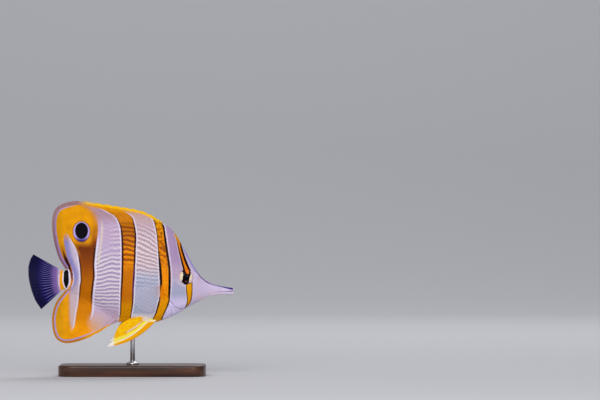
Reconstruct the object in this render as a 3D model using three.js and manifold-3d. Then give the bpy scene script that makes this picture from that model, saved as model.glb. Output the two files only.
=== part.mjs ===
// A copperband butterflyfish at life size, swimming almost level, held on a rod above a flat wooden base.
// Millimetres, +X towards the snout, +Z up. The fish's mid plane is y = 0, and the floor is z = 0.
// The fish is shaped in its own frame, whose z = 0 is the axis of the tail. Its right side is -Y.

import * as THREE from "three";
import { mergeVertices } from "three/addons/utils/BufferGeometryUtils.js";
import Module from "manifold-3d";

const wasm = await Module();
wasm.setup();

// Driving dimensions
const AXIS_HEIGHT = 60.2; // from the floor to the axis of the tail
const GAP = 0.3; // between neighbouring solids
const SNOUT_X = 64.9; // the snout's tip
const TAIL_END_X = -46; // the end of the tail's flesh, inside the root of the tail fin
const LIP_RINGS = [[0.9, 1], [0.3, 0.92], [0, 0.7]]; // the lips' rounding: [distance from the tip, size]
const ROOT_DEPTH = 2.4; // how far a fin is modelled into the flesh before it is cut back

// The flesh, as curves along the fish: [x, value]
const TOP_LINE = [
  [-46, 4.7], [-41, 6.2], [-37.8, 10.2], [-31.5, 21.1], [-23.3, 30.5], [-13.2, 36.2], [1.3, 39.3],
  [13.2, 38.2], [21.4, 35], [27.7, 29.4], [34.6, 17.5], [41, 6.2], [46, 0.4], [52.3, -2.7], [58.6, -4.15],
  [63.5, -4.9], [64.9, -5.2],
];
const BOTTOM_LINE = [
  [-46, -5.2], [-41, -6.2], [-34.6, -8.1], [-25.8, -13.2], [-14.5, -21.5], [-5.7, -26], [5.7, -27.8],
  [15.8, -26.4], [27.7, -21.9], [40.3, -14.6], [48.5, -10.7], [55.5, -9.4], [61.5, -9.05], [63.6, -9.25],
  [64.9, -9.1],
];
const WIDEST_LINE = [
  [-46, -0.1], [-25.8, 0.9], [-6.9, 1.9], [12, 1.6], [25.8, 0], [35.9, -1.6], [43.5, -4], [51, -6],
  [58.6, -7], [64.9, -7.3],
];
const HALF_WIDTH = [
  [-46, 1], [-43.5, 1.9], [-41, 2.5], [-35.9, 3], [-29.6, 4.3], [-20.8, 6.3], [-10.7, 8], [0.6, 9],
  [12, 9.4], [20.8, 9.1], [28.4, 7.9], [35.3, 6.5], [41, 4.9], [46, 3.2], [51.7, 2.2], [58.6, 1.7],
  [61.8, 1.6], [63.6, 1.9], [64.9, 1.75],
];
const KEEL = [[-46, 1.3], [20, 1.24], [40, 1.06], [64.9, 1]]; // 1 is an ellipse, and more is a sharper back
const FLESH_RINGS = 42;
const FLESH_SIDES = 28;

// The gill opening parts the head from the trunk, and the gill cover's rear edge stands proud of the trunk.
const GILL_OPENING = [
  [22.1, 40], [22.3, 33], [24.9, 13.9], [25.7, 6.3], [25.8, -3.1], [23.8, -10.7], [25.8, -15.1],
  [29.6, -21.4], [31, -26],
];
const GILL_COVER_FRONT = [
  [27.2, -17.4], [29.8, -16.5], [31, -12.6], [29.6, -6.9], [28.7, 0], [28, 7.6], [26.9, 12.4], [25.5, 15.4],
];
const BEHIND_GILLS_X = 21;
const GILL_RISE = 0.4;
const GILL_RISE_FROM_X = 33;
const GILL_RISE_FULL_X = 25;
const GILL_PLATE = 1.3; // the gill cover's thickness
const OPENING_PIECES = 26; // the straight pieces of the gill opening's line
const COVER_PIECES = 16;
const TAIL_CUT_X = -36.5; // where the trunk ends and the tail begins

// The mouth's line, from the lips back to the hinge of the lower jaw, and the mouth's opening at the lips
const MOUTH_LINE = [[61.5, -7.4], [54.8, -7.55], [51, -8.8], [48.8, -11], [48.8, -13], [66.2, -13]];
const UPPER_LIP = [66.2, -6.8];
const LOWER_LIP = [66.2, -7.55];

const EYE = { x: 35, z: 1.9, radius: 4.75, depth: 2.4, proud: 1, turn: THREE.MathUtils.degToRad(11) };
const EYE_SEGMENTS = [20, 12];
const NOSTRILS = [[40.2, 4.1], [41.4, 2.9]];
const NOSTRIL_RADIUS = 0.45;
const NOSTRIL_SEGMENTS = [8, 6];

// Fins. u runs along the root, from the front of a fin to its back, and from the top down on the tail fin.
const DORSAL = {
  rootX: [[0, 20.2], [0.55, -14.5], [0.85, -31.5], [1, -39.4]],
  edgeX: [
    [0, 19.2], [0.08, 13.2], [0.15, 6.3], [0.3, -6.9], [0.45, -20.8], [0.55, -32.1], [0.61, -40.3],
    [0.66, -46.3], [0.71, -49.1], [0.77, -49.8], [0.85, -48.9], [0.93, -45.8], [1, -41.3],
  ],
  edgeZ: [
    [0, 36.8], [0.08, 40.8], [0.15, 43.7], [0.3, 46.3], [0.45, 48.4], [0.55, 49.9], [0.61, 49], [0.66, 46.2],
    [0.71, 41.6], [0.77, 35.3], [0.85, 25.8], [0.93, 14.2], [1, 6.6],
  ],
  spines: 9,
  spinesEnd: 0.56,
  rays: 29,
  wave: 0.6,
};
const ANAL = {
  rootX: [[0, -5], [0.25, -14.5], [0.65, -29], [1, -39.4]],
  edgeX: [
    [0, -6], [0.1, -13.2], [0.17, -18.9], [0.25, -25.8], [0.36, -34], [0.45, -41], [0.52, -45.7],
    [0.59, -48.5], [0.67, -49.8], [0.77, -49.4], [0.88, -46.9], [1, -41.4],
  ],
  edgeZ: [
    [0, -26.2], [0.1, -28.7], [0.17, -32.3], [0.25, -36], [0.36, -38.9], [0.45, -39.9], [0.52, -38.3],
    [0.59, -34.6], [0.67, -27.7], [0.77, -20.5], [0.88, -13.5], [1, -6.4],
  ],
  spines: 3,
  spinesEnd: 0.24,
  rays: 20,
  wave: -0.5,
};
const MEDIAN_THICK = { root: 3.2, edge: 0.54 };
const THICK_POWER = 2.2; // a fin thins quickly above its scaled root
const THICK_ENDS = { share: 0.45, length: 0.1 }; // and towards its first and last rays
const SPINE_RIDGE = 0.34; // how far a spine stands out of the membrane on each side
const RAY_RIDGE = 0.16;
const RIDGE_AT_ROOT = 0.4; // the share of a ridge that shows at the root
const RIDGE_FULL = 0.3; // the share of a ray's length at which its ridge is full
const RIDGE_TAPER = 0.45; // the share of a ridge that is lost towards the tip
const SPINE_TIP = 0.9; // how far a spine's tip passes the membrane between two spines
const WAVES = 2.5; // side to side along a soft fin
const WAVE_FROM = [0.3, 0.6]; // where along the root the waves begin and are full
const MEDIAN_ROWS = [0, 0.28, 0.6, 0.87, 1];

const TAIL_FIN = {
  root: { x: [[0, -43.3], [1, -43]], z: [[0, 5.9], [1, -6]] },
  edge: {
    x: [[0, -61.7], [0.12, -63.6], [0.32, -64.9], [0.6, -64.1], [0.85, -60.7], [1, -56.7]],
    z: [[0, 16.3], [0.12, 13], [0.32, 7.4], [0.6, -1.6], [0.85, -12.3], [1, -18.6]],
  },
  rays: 17,
  thick: { root: 2, edge: 0.54 },
  wave: 0.8,
};
const PECTORAL = {
  root: { x: [[0, 20.5], [1, 21.4]], z: [[0, -3.5], [1, -9.4]], y: [[0, 8.4], [1, 7.6]] },
  edge: {
    x: [[0, 5.6], [0.2, 2.7], [0.45, 2.5], [0.75, 6], [1, 12.6]],
    z: [[0, -4.2], [0.2, -7.2], [0.45, -12.6], [0.75, -18], [1, -20]],
    y: [[0, 16], [0.3, 17.6], [1, 12.6]],
  },
  bow: [[0, 0.6], [1, 0]],
  cup: [[0, 0.8], [1, 0.5]],
  rays: 14,
  thick: { root: 1.3, edge: 0.5 },
  ridge: 0.12,
};
const PELVIC = {
  root: { x: [[0, 15.8], [1, 12.6]], z: [[0, -25.4], [1, -23.8]], y: [[0, 1.5], [1, 2.8]] },
  edge: {
    x: [[0, -15.8], [0.1, -14.3], [0.2, -11.7], [0.5, -9.4], [0.8, -6.9], [1, -4.1]],
    z: [[0, -42.1], [0.1, -40.9], [0.2, -38.1], [0.5, -32.1], [0.8, -28.3], [1, -26.1]],
    y: [[0, 4.6], [0.5, 5], [1, 4.4]],
  },
  bow: [[0, -3.7], [0.2, -2.3], [0.5, -0.4], [1, 1.7]],
  cup: [[0, 0.6], [1, 1.4]],
  rays: 6, // one spine and five soft rays
  thick: { root: 1.2, edge: 0.5 },
  ridge: 0.2,
};
const LEFT_PELVIC = { lift: THREE.MathUtils.degToRad(4.6), length: 0.94 }; // held a little higher
const PAIRED_ROWS = [-0.12, 0.06, 0.3, 0.6, 0.87, 1];

// The stand
const STAND_X = 1;
const BASE = { length: 92, width: 50, height: 7, corner: 9, edge: 0.8 };
const ROD_RADIUS = 1.5;
const ROD_SEAT = 4; // the depth of the rod's blind hole in the base
const ROD_INTO_FLESH = 3;
const COLLAR = { radius: 4, height: 1.8 };
const ROUND_SIDES = 24;
const CORNER_PIECES = 5;
const EDGE_PIECES = 2;

const SAME_POINT = 1e-4; // points nearer than this are one point
const ON_MID_PLANE = 1e-9; // the cosine of an angle that counts as a right angle

const COLOURS = {
  flesh: "#c9bdd0", snout: "#cdbfd8", gill: "#c3b6d0", copper: "#e08f12", tail: "#231f6b",
  membrane: "#cfc9dc", pelvic: "#f2b416", eye: "#0b0b14", wood: "#4a2f20", steel: "#b9bcc0",
};
const ROUGHNESS = { skin: 0.5, clear: 0.3, eye: 0.1, wood: 0.4, steel: 0.3 };
const STEEL_METALNESS = 0.9;

// A smooth curve through [position, value] pairs, as a function of position
function curve(points) {
  const last = points.length - 1;
  const slope = points.map((_, i) => {
    const [a, b] = [points[Math.max(i - 1, 0)], points[Math.min(i + 1, last)]];
    return (b[1] - a[1]) / (b[0] - a[0]);
  });
  return (position) => {
    let i = points.findIndex((point) => point[0] >= position) - 1;
    if (i < 0) i = position <= points[0][0] ? 0 : last - 1;
    const [[x0, y0], [x1, y1]] = [points[i], points[i + 1]];
    const h = x1 - x0;
    const t = THREE.MathUtils.clamp((position - x0) / h, 0, 1);
    const [a, b] = [t * t * (3 - 2 * t), t * (1 - t)];
    return y0 + (y1 - y0) * a + h * b * (slope[i] * (1 - t) - slope[i + 1] * t);
  };
}

const top = curve(TOP_LINE);
const bottom = curve(BOTTOM_LINE);
const widest = curve(WIDEST_LINE);
const halfWidth = curve(HALF_WIDTH);
const keel = curve(KEEL);

// Solids from points and triangles, and meshes from solids
function solidOf(points, triangles) {
  const vertProperties = new Float32Array(points.flatMap((p) => [p.x, p.y, p.z]));
  const turned = signedVolume(points, triangles) < 0;
  const triVerts = new Uint32Array(triangles.flatMap(([a, b, c]) => (turned ? [a, c, b] : [a, b, c])));
  return new wasm.Manifold(new wasm.Mesh({ numProp: 3, vertProperties, triVerts }));
}

function signedVolume(points, triangles) {
  const cross = new THREE.Vector3();
  const volumes = triangles.map(([a, b, c]) => cross.crossVectors(points[b], points[c]).dot(points[a]));
  return volumes.reduce((sum, volume) => sum + volume, 0);
}

function solidOfGeometry(geometry) {
  geometry.deleteAttribute("normal");
  geometry.deleteAttribute("uv");
  const merged = mergeVertices(geometry, SAME_POINT);
  const position = merged.getAttribute("position");
  const points = [];
  for (let i = 0; i < position.count; i++) points.push(new THREE.Vector3().fromBufferAttribute(position, i));
  const index = Array.from(merged.index.array);
  const triangles = [];
  for (let i = 0; i < index.length; i += 3) {
    const [a, b, c] = index.slice(i, i + 3);
    if (a !== b && b !== c && a !== c) triangles.push([a, b, c]);
  }
  return solidOf(points, triangles);
}

// The largest closed surface of a solid, without the scraps that a cut leaves
function largest(solid) {
  return solid.decompose().reduce((best, piece) => (piece.volume() > best.volume() ? piece : best));
}

function meshOf(name, solid, colour, roughness = ROUGHNESS.skin, metalness = 0) {
  const { numProp, vertProperties, triVerts } = solid.getMesh();
  const positions = new Float32Array((vertProperties.length / numProp) * 3);
  for (let i = 0; i < positions.length / 3; i++) {
    positions.set(vertProperties.subarray(i * numProp, i * numProp + 3), i * 3);
  }
  const geometry = new THREE.BufferGeometry();
  geometry.setAttribute("position", new THREE.BufferAttribute(positions, 3));
  geometry.setIndex(new THREE.BufferAttribute(triVerts, 1));
  geometry.computeVertexNormals();
  const material = new THREE.MeshStandardMaterial({ color: colour, roughness, metalness });
  const mesh = new THREE.Mesh(geometry, material);
  mesh.name = name;
  return mesh;
}

// A closed skin over rings of points, with a flat cap at each end
function loft(rings) {
  const sides = rings[0].length;
  const triangles = [];
  for (let i = 0; i + 1 < rings.length; i++) {
    for (let j = 0; j < sides; j++) {
      const [a, b] = [i * sides + j, i * sides + ((j + 1) % sides)];
      triangles.push([a, b, b + sides], [a, b + sides, a + sides]);
    }
  }
  const lastRing = (rings.length - 1) * sides;
  for (let j = 1; j + 1 < sides; j++) {
    triangles.push([0, j + 1, j], [lastRing, lastRing + j, lastRing + j + 1]);
  }
  return solidOf(rings.flat(), triangles);
}

// Half the flesh's width at a height z on the section at x
function fleshHalfWidth(x, z) {
  const limit = z > widest(x) ? top(x) : bottom(x);
  const share = (z - widest(x)) / (limit - widest(x));
  return share >= 1 ? 0 : halfWidth(x) * (1 - share * share) ** (keel(x) / 2);
}

// The flesh of the whole fish, grown by a margin. rise swells the gill covers.
function fleshSolid({ grow = 0, rise = 0 }) {
  const ring = (x, shift, scale) => {
    const swell = rise * (1 - THREE.MathUtils.smoothstep(x, GILL_RISE_FULL_X, GILL_RISE_FROM_X));
    const wide = (halfWidth(x) + swell) * scale + grow;
    const points = [];
    for (let j = 0; j < FLESH_SIDES; j++) {
      const angle = (2 * Math.PI * j) / FLESH_SIDES;
      const [up, out] = [Math.sin(angle), Math.cos(angle)];
      const reach = (up > 0 ? top(x) - widest(x) : widest(x) - bottom(x)) * scale + grow;
      const y = wide * Math.sign(out) * Math.abs(out) ** keel(x);
      points.push(new THREE.Vector3(x + shift, Math.abs(out) < ON_MID_PLANE ? 0 : y, widest(x) + reach * up));
    }
    return points;
  };
  const lips = LIP_RINGS.map(([back, size]) => ring(SNOUT_X - back, grow * (1 - back), size));
  const rings = [ring(TAIL_END_X, -grow, 1)];
  for (let i = 1; i < FLESH_RINGS; i++) {
    rings.push(ring(THREE.MathUtils.lerp(TAIL_END_X, SNOUT_X - LIP_RINGS[0][0], i / FLESH_RINGS), 0, 1));
  }
  return loft([...rings, ...lips]);
}

// A prism across the fish whose outline, in x and z, is given, from y = low to y = high
function prism(outline, low, high) {
  const shape = new THREE.Shape(outline.map(([x, z]) => new THREE.Vector2(x, z)));
  const geometry = new THREE.ExtrudeGeometry(shape, { depth: high - low, bevelEnabled: false });
  geometry.rotateX(Math.PI / 2);
  geometry.translate(0, high, 0);
  return solidOfGeometry(geometry);
}

// A smooth line through points, as more points
function smoothLine(points, pieces) {
  const spline = new THREE.SplineCurve(points.map(([x, z]) => new THREE.Vector2(x, z)));
  return spline.getPoints(pieces).map((point) => [point.x, point.y]);
}

const ACROSS = 30; // half the width of the prisms that part the flesh
const FAR = 90; // past every end of the fish

function placeX(line, shift) {
  return line.map(([x, z]) => [x + shift, z]);
}

// Everything ahead of the gill opening, and everything behind it
const openingLine = smoothLine(GILL_OPENING, OPENING_PIECES);
const aheadOfGills = (shift) =>
  prism([...placeX(openingLine, shift), [FAR, -FAR], [FAR, FAR]], -ACROSS, ACROSS);
const behindX = (x) => prism([[-FAR, -FAR], [x, -FAR], [x, FAR], [-FAR, FAR]], -ACROSS, ACROSS);
const lowerJawSpace = (lip, gap) => {
  const line = MOUTH_LINE.map(([x, z]) => [x < SNOUT_X ? x - gap : x, z + gap]);
  return prism([lip, ...line], -ACROSS, ACROSS);
};

function ellipsoid(radius, depth, side, grow) {
  const ball = new THREE.SphereGeometry(1, ...EYE_SEGMENTS);
  ball.rotateX(Math.PI / 2);
  ball.rotateZ(Math.PI / 2);
  ball.scale(radius + grow, depth + grow, radius + grow);
  ball.rotateZ(side * EYE.turn);
  const surface = fleshHalfWidth(EYE.x, EYE.z);
  ball.translate(EYE.x, side * (surface + EYE.proud - depth), EYE.z);
  return solidOfGeometry(ball);
}

function nostril([x, z], side) {
  const pit = new THREE.SphereGeometry(NOSTRIL_RADIUS, ...NOSTRIL_SEGMENTS);
  pit.translate(x, side * fleshHalfWidth(x, z), z);
  return solidOfGeometry(pit);
}

// One side's gill cover: a plate that follows the flesh
function gillCover(outer, inner, side, grow) {
  const [low, high] = side < 0 ? [-ACROSS, 0] : [0, ACROSS];
  const front = placeX(smoothLine(GILL_COVER_FRONT, COVER_PIECES), grow);
  const [lowest, highest] = [front[0][1] - grow, front[front.length - 1][1] + grow];
  const outline = [[BEHIND_GILLS_X, highest], [BEHIND_GILLS_X, lowest], [front[0][0], lowest], ...front];
  outline.push([front[front.length - 1][0], highest]);
  return prism(outline, low, high).intersect(outer).subtract(inner);
}

const SLOPE_STEP = 0.01; // the step over which a fin's slope is measured

function finHalfThickness(thick, u, v, ridge) {
  const nearEnd = THREE.MathUtils.smoothstep(Math.min(u, 1 - u), 0, THICK_ENDS.length);
  const root = Math.max(thick.root * THREE.MathUtils.lerp(THICK_ENDS.share, 1, nearEnd), thick.edge);
  const membrane = thick.edge + (root - thick.edge) * (1 - v) ** THICK_POWER;
  const grown = THREE.MathUtils.lerp(RIDGE_AT_ROOT, 1, Math.min(1, v / RIDGE_FULL));
  return membrane / 2 + ridge * grown * (1 - RIDGE_TAPER * v);
}

// A fin as a sheet with its rays as ridges. place(u, v) is a point of its middle, and columns and rows say
// where it is sampled.
function finSolid(place, columns, rows, thick) {
  const points = [[], []];
  columns.forEach(({ u, ridge, short }) => {
    const length = place(u, 0).distanceTo(place(u, 1));
    rows.forEach((row) => {
      const v = row * (1 - short / length);
      const along = place(u, v + SLOPE_STEP).sub(place(u, v - SLOPE_STEP));
      const across = place(Math.min(u + SLOPE_STEP, 1), v).sub(place(Math.max(u - SLOPE_STEP, 0), v));
      const normal = across.cross(along).normalize();
      const half = finHalfThickness(thick, u, THREE.MathUtils.clamp(row, 0, 1), ridge);
      points[0].push(place(u, v).addScaledVector(normal, half));
      points[1].push(place(u, v).addScaledVector(normal, -half));
    });
  });
  const [count, height] = [columns.length, rows.length];
  const second = count * height;
  const at = (i, j) => i * height + j;
  const triangles = [];
  for (let i = 0; i + 1 < count; i++) {
    for (let j = 0; j + 1 < height; j++) {
      const [a, b, c, d] = [at(i, j), at(i + 1, j), at(i + 1, j + 1), at(i, j + 1)];
      triangles.push([a, b, c], [a, c, d]);
      triangles.push([second + a, second + c, second + b], [second + a, second + d, second + c]);
    }
  }
  const rim = [];
  for (let i = 0; i < count; i++) rim.push(at(i, 0));
  for (let j = 1; j < height; j++) rim.push(at(count - 1, j));
  for (let i = count - 2; i >= 0; i--) rim.push(at(i, height - 1));
  for (let j = height - 2; j > 0; j--) rim.push(at(0, j));
  rim.forEach((a, k) => {
    const b = rim[(k + 1) % rim.length];
    triangles.push([b, a, second + a], [b, second + a, second + b]);
  });
  return solidOf(points.flat(), triangles);
}

// Where a fin is sampled along its root: [place between two rays, share of the ridge, share of the notch]
const SPINE_COLUMNS = [[0.3, 0, 0.55], [0.5, 1, 0], [0.7, 0, 1]];
const RAY_COLUMNS = [[0.5, 1, 0], [1, 0, 0]];
const FRONT_EDGE = { u: 0, ridge: 0, short: 0 };

// The columns of a fin between two places along its root
function rayColumns(from, to, count, ridge, notch, pattern = RAY_COLUMNS) {
  const pitch = (to - from) / count;
  const columns = [];
  for (let i = 0; i < count; i++) {
    pattern.forEach(([place, rise, cut]) => {
      columns.push({ u: from + (i + place) * pitch, ridge: rise * ridge, short: cut * notch });
    });
  }
  return columns;
}

// The dorsal or anal fin, whose root follows the back or the belly
function medianFin(fin, outline, inward) {
  const [rootX, edgeX, edgeZ] = [curve(fin.rootX), curve(fin.edgeX), curve(fin.edgeZ)];
  const place = (u, v) => {
    const x = rootX(u);
    const root = new THREE.Vector3(x, 0, outline(x));
    if (v < 0) return root.add(new THREE.Vector3(0, 0, -v * ROOT_DEPTH * inward));
    const sway = Math.sin(2 * Math.PI * WAVES * u) * THREE.MathUtils.smoothstep(u, ...WAVE_FROM);
    const wave = fin.wave * v * v * sway;
    return root.lerp(new THREE.Vector3(edgeX(u), 0, edgeZ(u)), v).setY(wave);
  };
  const columns = [
    FRONT_EDGE,
    ...rayColumns(0, fin.spinesEnd, fin.spines, SPINE_RIDGE, SPINE_TIP, SPINE_COLUMNS),
    ...rayColumns(fin.spinesEnd, 1, fin.rays, RAY_RIDGE, 0),
  ];
  return finSolid(place, columns, [-1, ...MEDIAN_ROWS], MEDIAN_THICK);
}

// A fin that springs from a short root: the tail fin and the paired fins
function fanFin(fin, side, { lift = 0, length = 1 } = {}) {
  const zero = () => 0;
  const axes = (part) => [curve(part.x), part.y ? curve(part.y) : zero, curve(part.z)];
  const [rootX, rootY, rootZ] = axes(fin.root);
  const [edgeX, edgeY, edgeZ] = axes(fin.edge);
  const bow = fin.bow ? curve(fin.bow) : zero;
  const cup = fin.cup ? curve(fin.cup) : zero;
  const place = (u, v) => {
    const root = new THREE.Vector3(rootX(u), rootY(u), rootZ(u));
    const ray = new THREE.Vector3(edgeX(u), edgeY(u), edgeZ(u)).sub(root);
    const sideways = new THREE.Vector3(ray.z, 0, -ray.x).normalize();
    const arch = 4 * v * (1 - v);
    const wave = fin.wave ? fin.wave * v * v * Math.sin(2 * Math.PI * u) : 0;
    ray.multiplyScalar(v).addScaledVector(sideways, bow(u) * arch);
    ray.y += cup(u) * arch + wave;
    ray.applyAxisAngle(new THREE.Vector3(0, 1, 0), lift).multiplyScalar(v > 0 ? length : 1);
    const point = root.add(ray);
    return point.setY(point.y * side);
  };
  const ridge = fin.ridge ?? RAY_RIDGE;
  const columns = [{ ...FRONT_EDGE, ridge }, ...rayColumns(0, 1, fin.rays, ridge, 0)];
  return finSolid(place, columns, PAIRED_ROWS, fin.thick);
}

function cylinder(radius, low, high) {
  const geometry = new THREE.CylinderGeometry(radius, radius, high - low, ROUND_SIDES);
  geometry.rotateX(Math.PI / 2);
  geometry.translate(STAND_X, 0, (low + high) / 2);
  return solidOfGeometry(geometry);
}

function standBase() {
  const { length, width, height, corner, edge } = BASE;
  const [halfLength, halfDepth] = [length / 2 - edge, width / 2 - edge];
  const shape = new THREE.Shape();
  shape.absarc(halfLength - corner, halfDepth - corner, corner, 0, Math.PI / 2);
  shape.absarc(corner - halfLength, halfDepth - corner, corner, Math.PI / 2, Math.PI);
  shape.absarc(corner - halfLength, corner - halfDepth, corner, Math.PI, 1.5 * Math.PI);
  shape.absarc(halfLength - corner, corner - halfDepth, corner, 1.5 * Math.PI, 2 * Math.PI);
  const geometry = new THREE.ExtrudeGeometry(shape, {
    depth: height - 2 * edge, bevelThickness: edge, bevelSize: edge, bevelSegments: EDGE_PIECES,
    curveSegments: CORNER_PIECES,
  });
  geometry.translate(STAND_X, 0, edge - AXIS_HEIGHT);
  return solidOfGeometry(geometry);
}

// Flesh, and what is cut out of it
const flesh = fleshSolid({});
const swollen = fleshSolid({ rise: GILL_RISE });
const cleared = fleshSolid({ grow: GAP, rise: GILL_RISE });
const beneathGill = fleshSolid({ grow: -GILL_PLATE, rise: GILL_RISE });
const beneathSeat = fleshSolid({ grow: -GILL_PLATE - GAP, rise: GILL_RISE });
const SIDES = { right: -1, left: 1 };

const nodes = [];
const add = (...node) => nodes.push(meshOf(...node));

let head = swollen.intersect(aheadOfGills(0)).subtract(lowerJawSpace(UPPER_LIP, GAP));
for (const [name, side] of Object.entries(SIDES)) {
  const cover = gillCover(swollen, beneathGill, side, 0).intersect(aheadOfGills(0));
  add(`gill_cover_${name}`, largest(cover), COLOURS.gill);
  head = head.subtract(gillCover(cleared, beneathSeat, side, GAP));
  head = head.subtract(ellipsoid(EYE.radius, EYE.depth, side, GAP));
  NOSTRILS.forEach((place) => (head = head.subtract(nostril(place, side))));
  add(`eye_${name}`, ellipsoid(EYE.radius, EYE.depth, side, 0), COLOURS.eye, ROUGHNESS.eye);
}
add("head", largest(head), COLOURS.snout);
add("lower_jaw", largest(swollen.intersect(lowerJawSpace(LOWER_LIP, 0))), COLOURS.snout);
const trunk = flesh.subtract(aheadOfGills(-GILL_RISE)).subtract(behindX(TAIL_CUT_X + GAP));
add("trunk", largest(trunk), COLOURS.flesh);
add("tail", largest(flesh.intersect(behindX(TAIL_CUT_X))), COLOURS.flesh);

add("dorsal_fin", largest(medianFin(DORSAL, top, -1).subtract(cleared)), COLOURS.copper);
add("anal_fin", largest(medianFin(ANAL, bottom, 1).subtract(cleared)), COLOURS.copper);
add("tail_fin", largest(fanFin(TAIL_FIN, 1).subtract(cleared)), COLOURS.tail);
for (const [name, side] of Object.entries(SIDES)) {
  const pectoral = largest(fanFin(PECTORAL, side).subtract(cleared));
  add(`pectoral_fin_${name}`, pectoral, COLOURS.membrane, ROUGHNESS.clear);
  const pose = side > 0 ? LEFT_PELVIC : {};
  add(`pelvic_fin_${name}`, largest(fanFin(PELVIC, side, pose).subtract(cleared)), COLOURS.pelvic);
}

const baseTop = BASE.height - AXIS_HEIGHT;
const seat = cylinder(ROD_RADIUS + GAP, baseTop - ROD_SEAT, baseTop + 1);
const rodTop = bottom(STAND_X) + ROD_INTO_FLESH; // before the belly cuts it back
const rod = cylinder(ROD_RADIUS, baseTop - ROD_SEAT + GAP, rodTop).subtract(cleared);
const collar = cylinder(COLLAR.radius, baseTop + GAP, baseTop + GAP + COLLAR.height);
const throughCollar = cylinder(ROD_RADIUS + GAP, baseTop - 1, baseTop + GAP + COLLAR.height + 1);
add("stand_base", standBase().subtract(seat), COLOURS.wood, ROUGHNESS.wood);
add("stand_rod", largest(rod), COLOURS.steel, ROUGHNESS.steel, STEEL_METALNESS);
add("stand_collar", collar.subtract(throughCollar), COLOURS.steel, ROUGHNESS.steel, STEEL_METALNESS);

const fish = new THREE.Group();
fish.add(...nodes);
fish.position.z = AXIS_HEIGHT;

export default fish;
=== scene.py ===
"""The looks of a copperband butterflyfish model on its display stand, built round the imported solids.

The fish is shaped in millimetres in its own frame, whose x = 0 is the middle of its length, z = 0 the axis of
its tail and -Y its right side. Pieces are made in metres in the frame of the solids, with the floor at z = 0.
"""

import math

import bpy
import numpy as np
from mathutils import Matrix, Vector


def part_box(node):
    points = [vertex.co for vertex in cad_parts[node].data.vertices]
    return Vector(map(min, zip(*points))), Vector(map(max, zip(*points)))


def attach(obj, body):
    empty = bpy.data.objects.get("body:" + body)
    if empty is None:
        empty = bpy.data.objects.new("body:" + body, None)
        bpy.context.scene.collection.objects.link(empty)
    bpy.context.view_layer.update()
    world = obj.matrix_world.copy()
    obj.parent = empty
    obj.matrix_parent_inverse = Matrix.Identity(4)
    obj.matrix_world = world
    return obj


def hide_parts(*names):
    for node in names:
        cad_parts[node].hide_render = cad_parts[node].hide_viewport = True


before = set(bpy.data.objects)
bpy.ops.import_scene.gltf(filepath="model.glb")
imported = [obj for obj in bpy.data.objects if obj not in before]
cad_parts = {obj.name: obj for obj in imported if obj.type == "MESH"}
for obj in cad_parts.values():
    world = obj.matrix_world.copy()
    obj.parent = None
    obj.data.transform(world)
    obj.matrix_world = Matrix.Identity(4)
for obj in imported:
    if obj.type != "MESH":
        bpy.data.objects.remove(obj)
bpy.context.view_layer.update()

# Driving dimensions, as in the solids
MM = 0.001
AXIS_HEIGHT = 60.2  # from the floor to the axis of the tail
SNOUT_X = 64.9
TAIL_END_X = -46.0
DORSAL_ROOT = (-39.4, 20.2)  # the root's rear and front
ANAL_ROOT = (-39.4, -5.0)
EYE = {"x": 35.0, "z": 1.9, "radius": 4.75, "depth": 2.4, "turn": 11.0}
EYE_PROUD = 1.15  # how far the eye stands out of the flesh, a little more than in the solids
EYE_SEEN = 4.4  # the radius of the part of the eye that shows
EYE_SOCKET = 0.4  # how much the skin dips round the eye
NOSTRILS = ((40.2, 4.1), (41.4, 2.9))

TOP_LINE = (
    (-46, 4.7), (-41, 6.2), (-37.8, 10.2), (-31.5, 21.1), (-23.3, 30.5), (-13.2, 36.2), (1.3, 39.3),
    (13.2, 38.2), (21.4, 35), (27.7, 29.4), (34.6, 17.5), (41, 6.2), (46, 0.4), (52.3, -2.7), (58.6, -4.15),
    (63.5, -4.9), (64.9, -5.2),
)
BOTTOM_LINE = (
    (-46, -5.2), (-41, -6.2), (-34.6, -8.1), (-25.8, -13.2), (-14.5, -21.5), (-5.7, -26), (5.7, -27.8),
    (15.8, -26.4), (27.7, -21.9), (40.3, -14.6), (48.5, -10.7), (55.5, -9.4), (61.5, -9.05), (63.6, -9.25),
    (64.9, -9.1),
)
WIDEST_LINE = (
    (-46, -0.1), (-25.8, 0.9), (-6.9, 1.9), (12, 1.6), (25.8, 0), (35.9, -1.6), (43.5, -4), (51, -6),
    (58.6, -7), (64.9, -7.3),
)
HALF_WIDTH = (
    (-46, 1), (-43.5, 1.9), (-41, 2.5), (-35.9, 3), (-29.6, 4.3), (-20.8, 6.3), (-10.7, 8), (0.6, 9),
    (12, 9.4), (20.8, 9.1), (28.4, 7.9), (35.3, 6.5), (41, 4.9), (46, 3.2), (51.7, 2.2), (58.6, 1.7),
    (61.8, 1.6), (63.6, 1.9), (64.9, 1.75),
)
KEEL = ((-46, 1.3), (20, 1.24), (40, 1.06), (64.9, 1))  # 1 is an ellipse, and more is a sharper back
MOUTH_LINE = ((48.8, -10.6), (51, -8.9), (54.8, -7.45), (61.5, -7.25), (64.9, -7.1))
GILL_OPENING = (
    (-26, 31), (-21.4, 29.6), (-15.1, 25.8), (-10.7, 23.8), (-3.1, 25.8), (6.3, 25.7), (13.9, 24.9),
    (33, 22.3), (40, 22.1),
)
GILL_COVER_FRONT = (
    (-17.4, 27.2), (-16.5, 29.8), (-12.6, 31), (-6.9, 29.6), (0, 28.7), (7.6, 28), (12.4, 26.9), (15.4, 25.5),
)
GILL_RISE = 0.4
GILL_RISE_X = (25, 33)
GILL_GROOVE = {"depth": 0.28, "behind": 0.3, "half_width": 0.28}
COVER_GROOVE = {"depth": 0.2, "half_width": 0.3}
NOSTRIL = {"depth": 0.4, "half_width": 0.36}
NOSTRIL_RIM = {"height": 0.12, "radius": 0.68, "half_width": 0.2}
FIN_ROOT_HALF = 1.6
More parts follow.
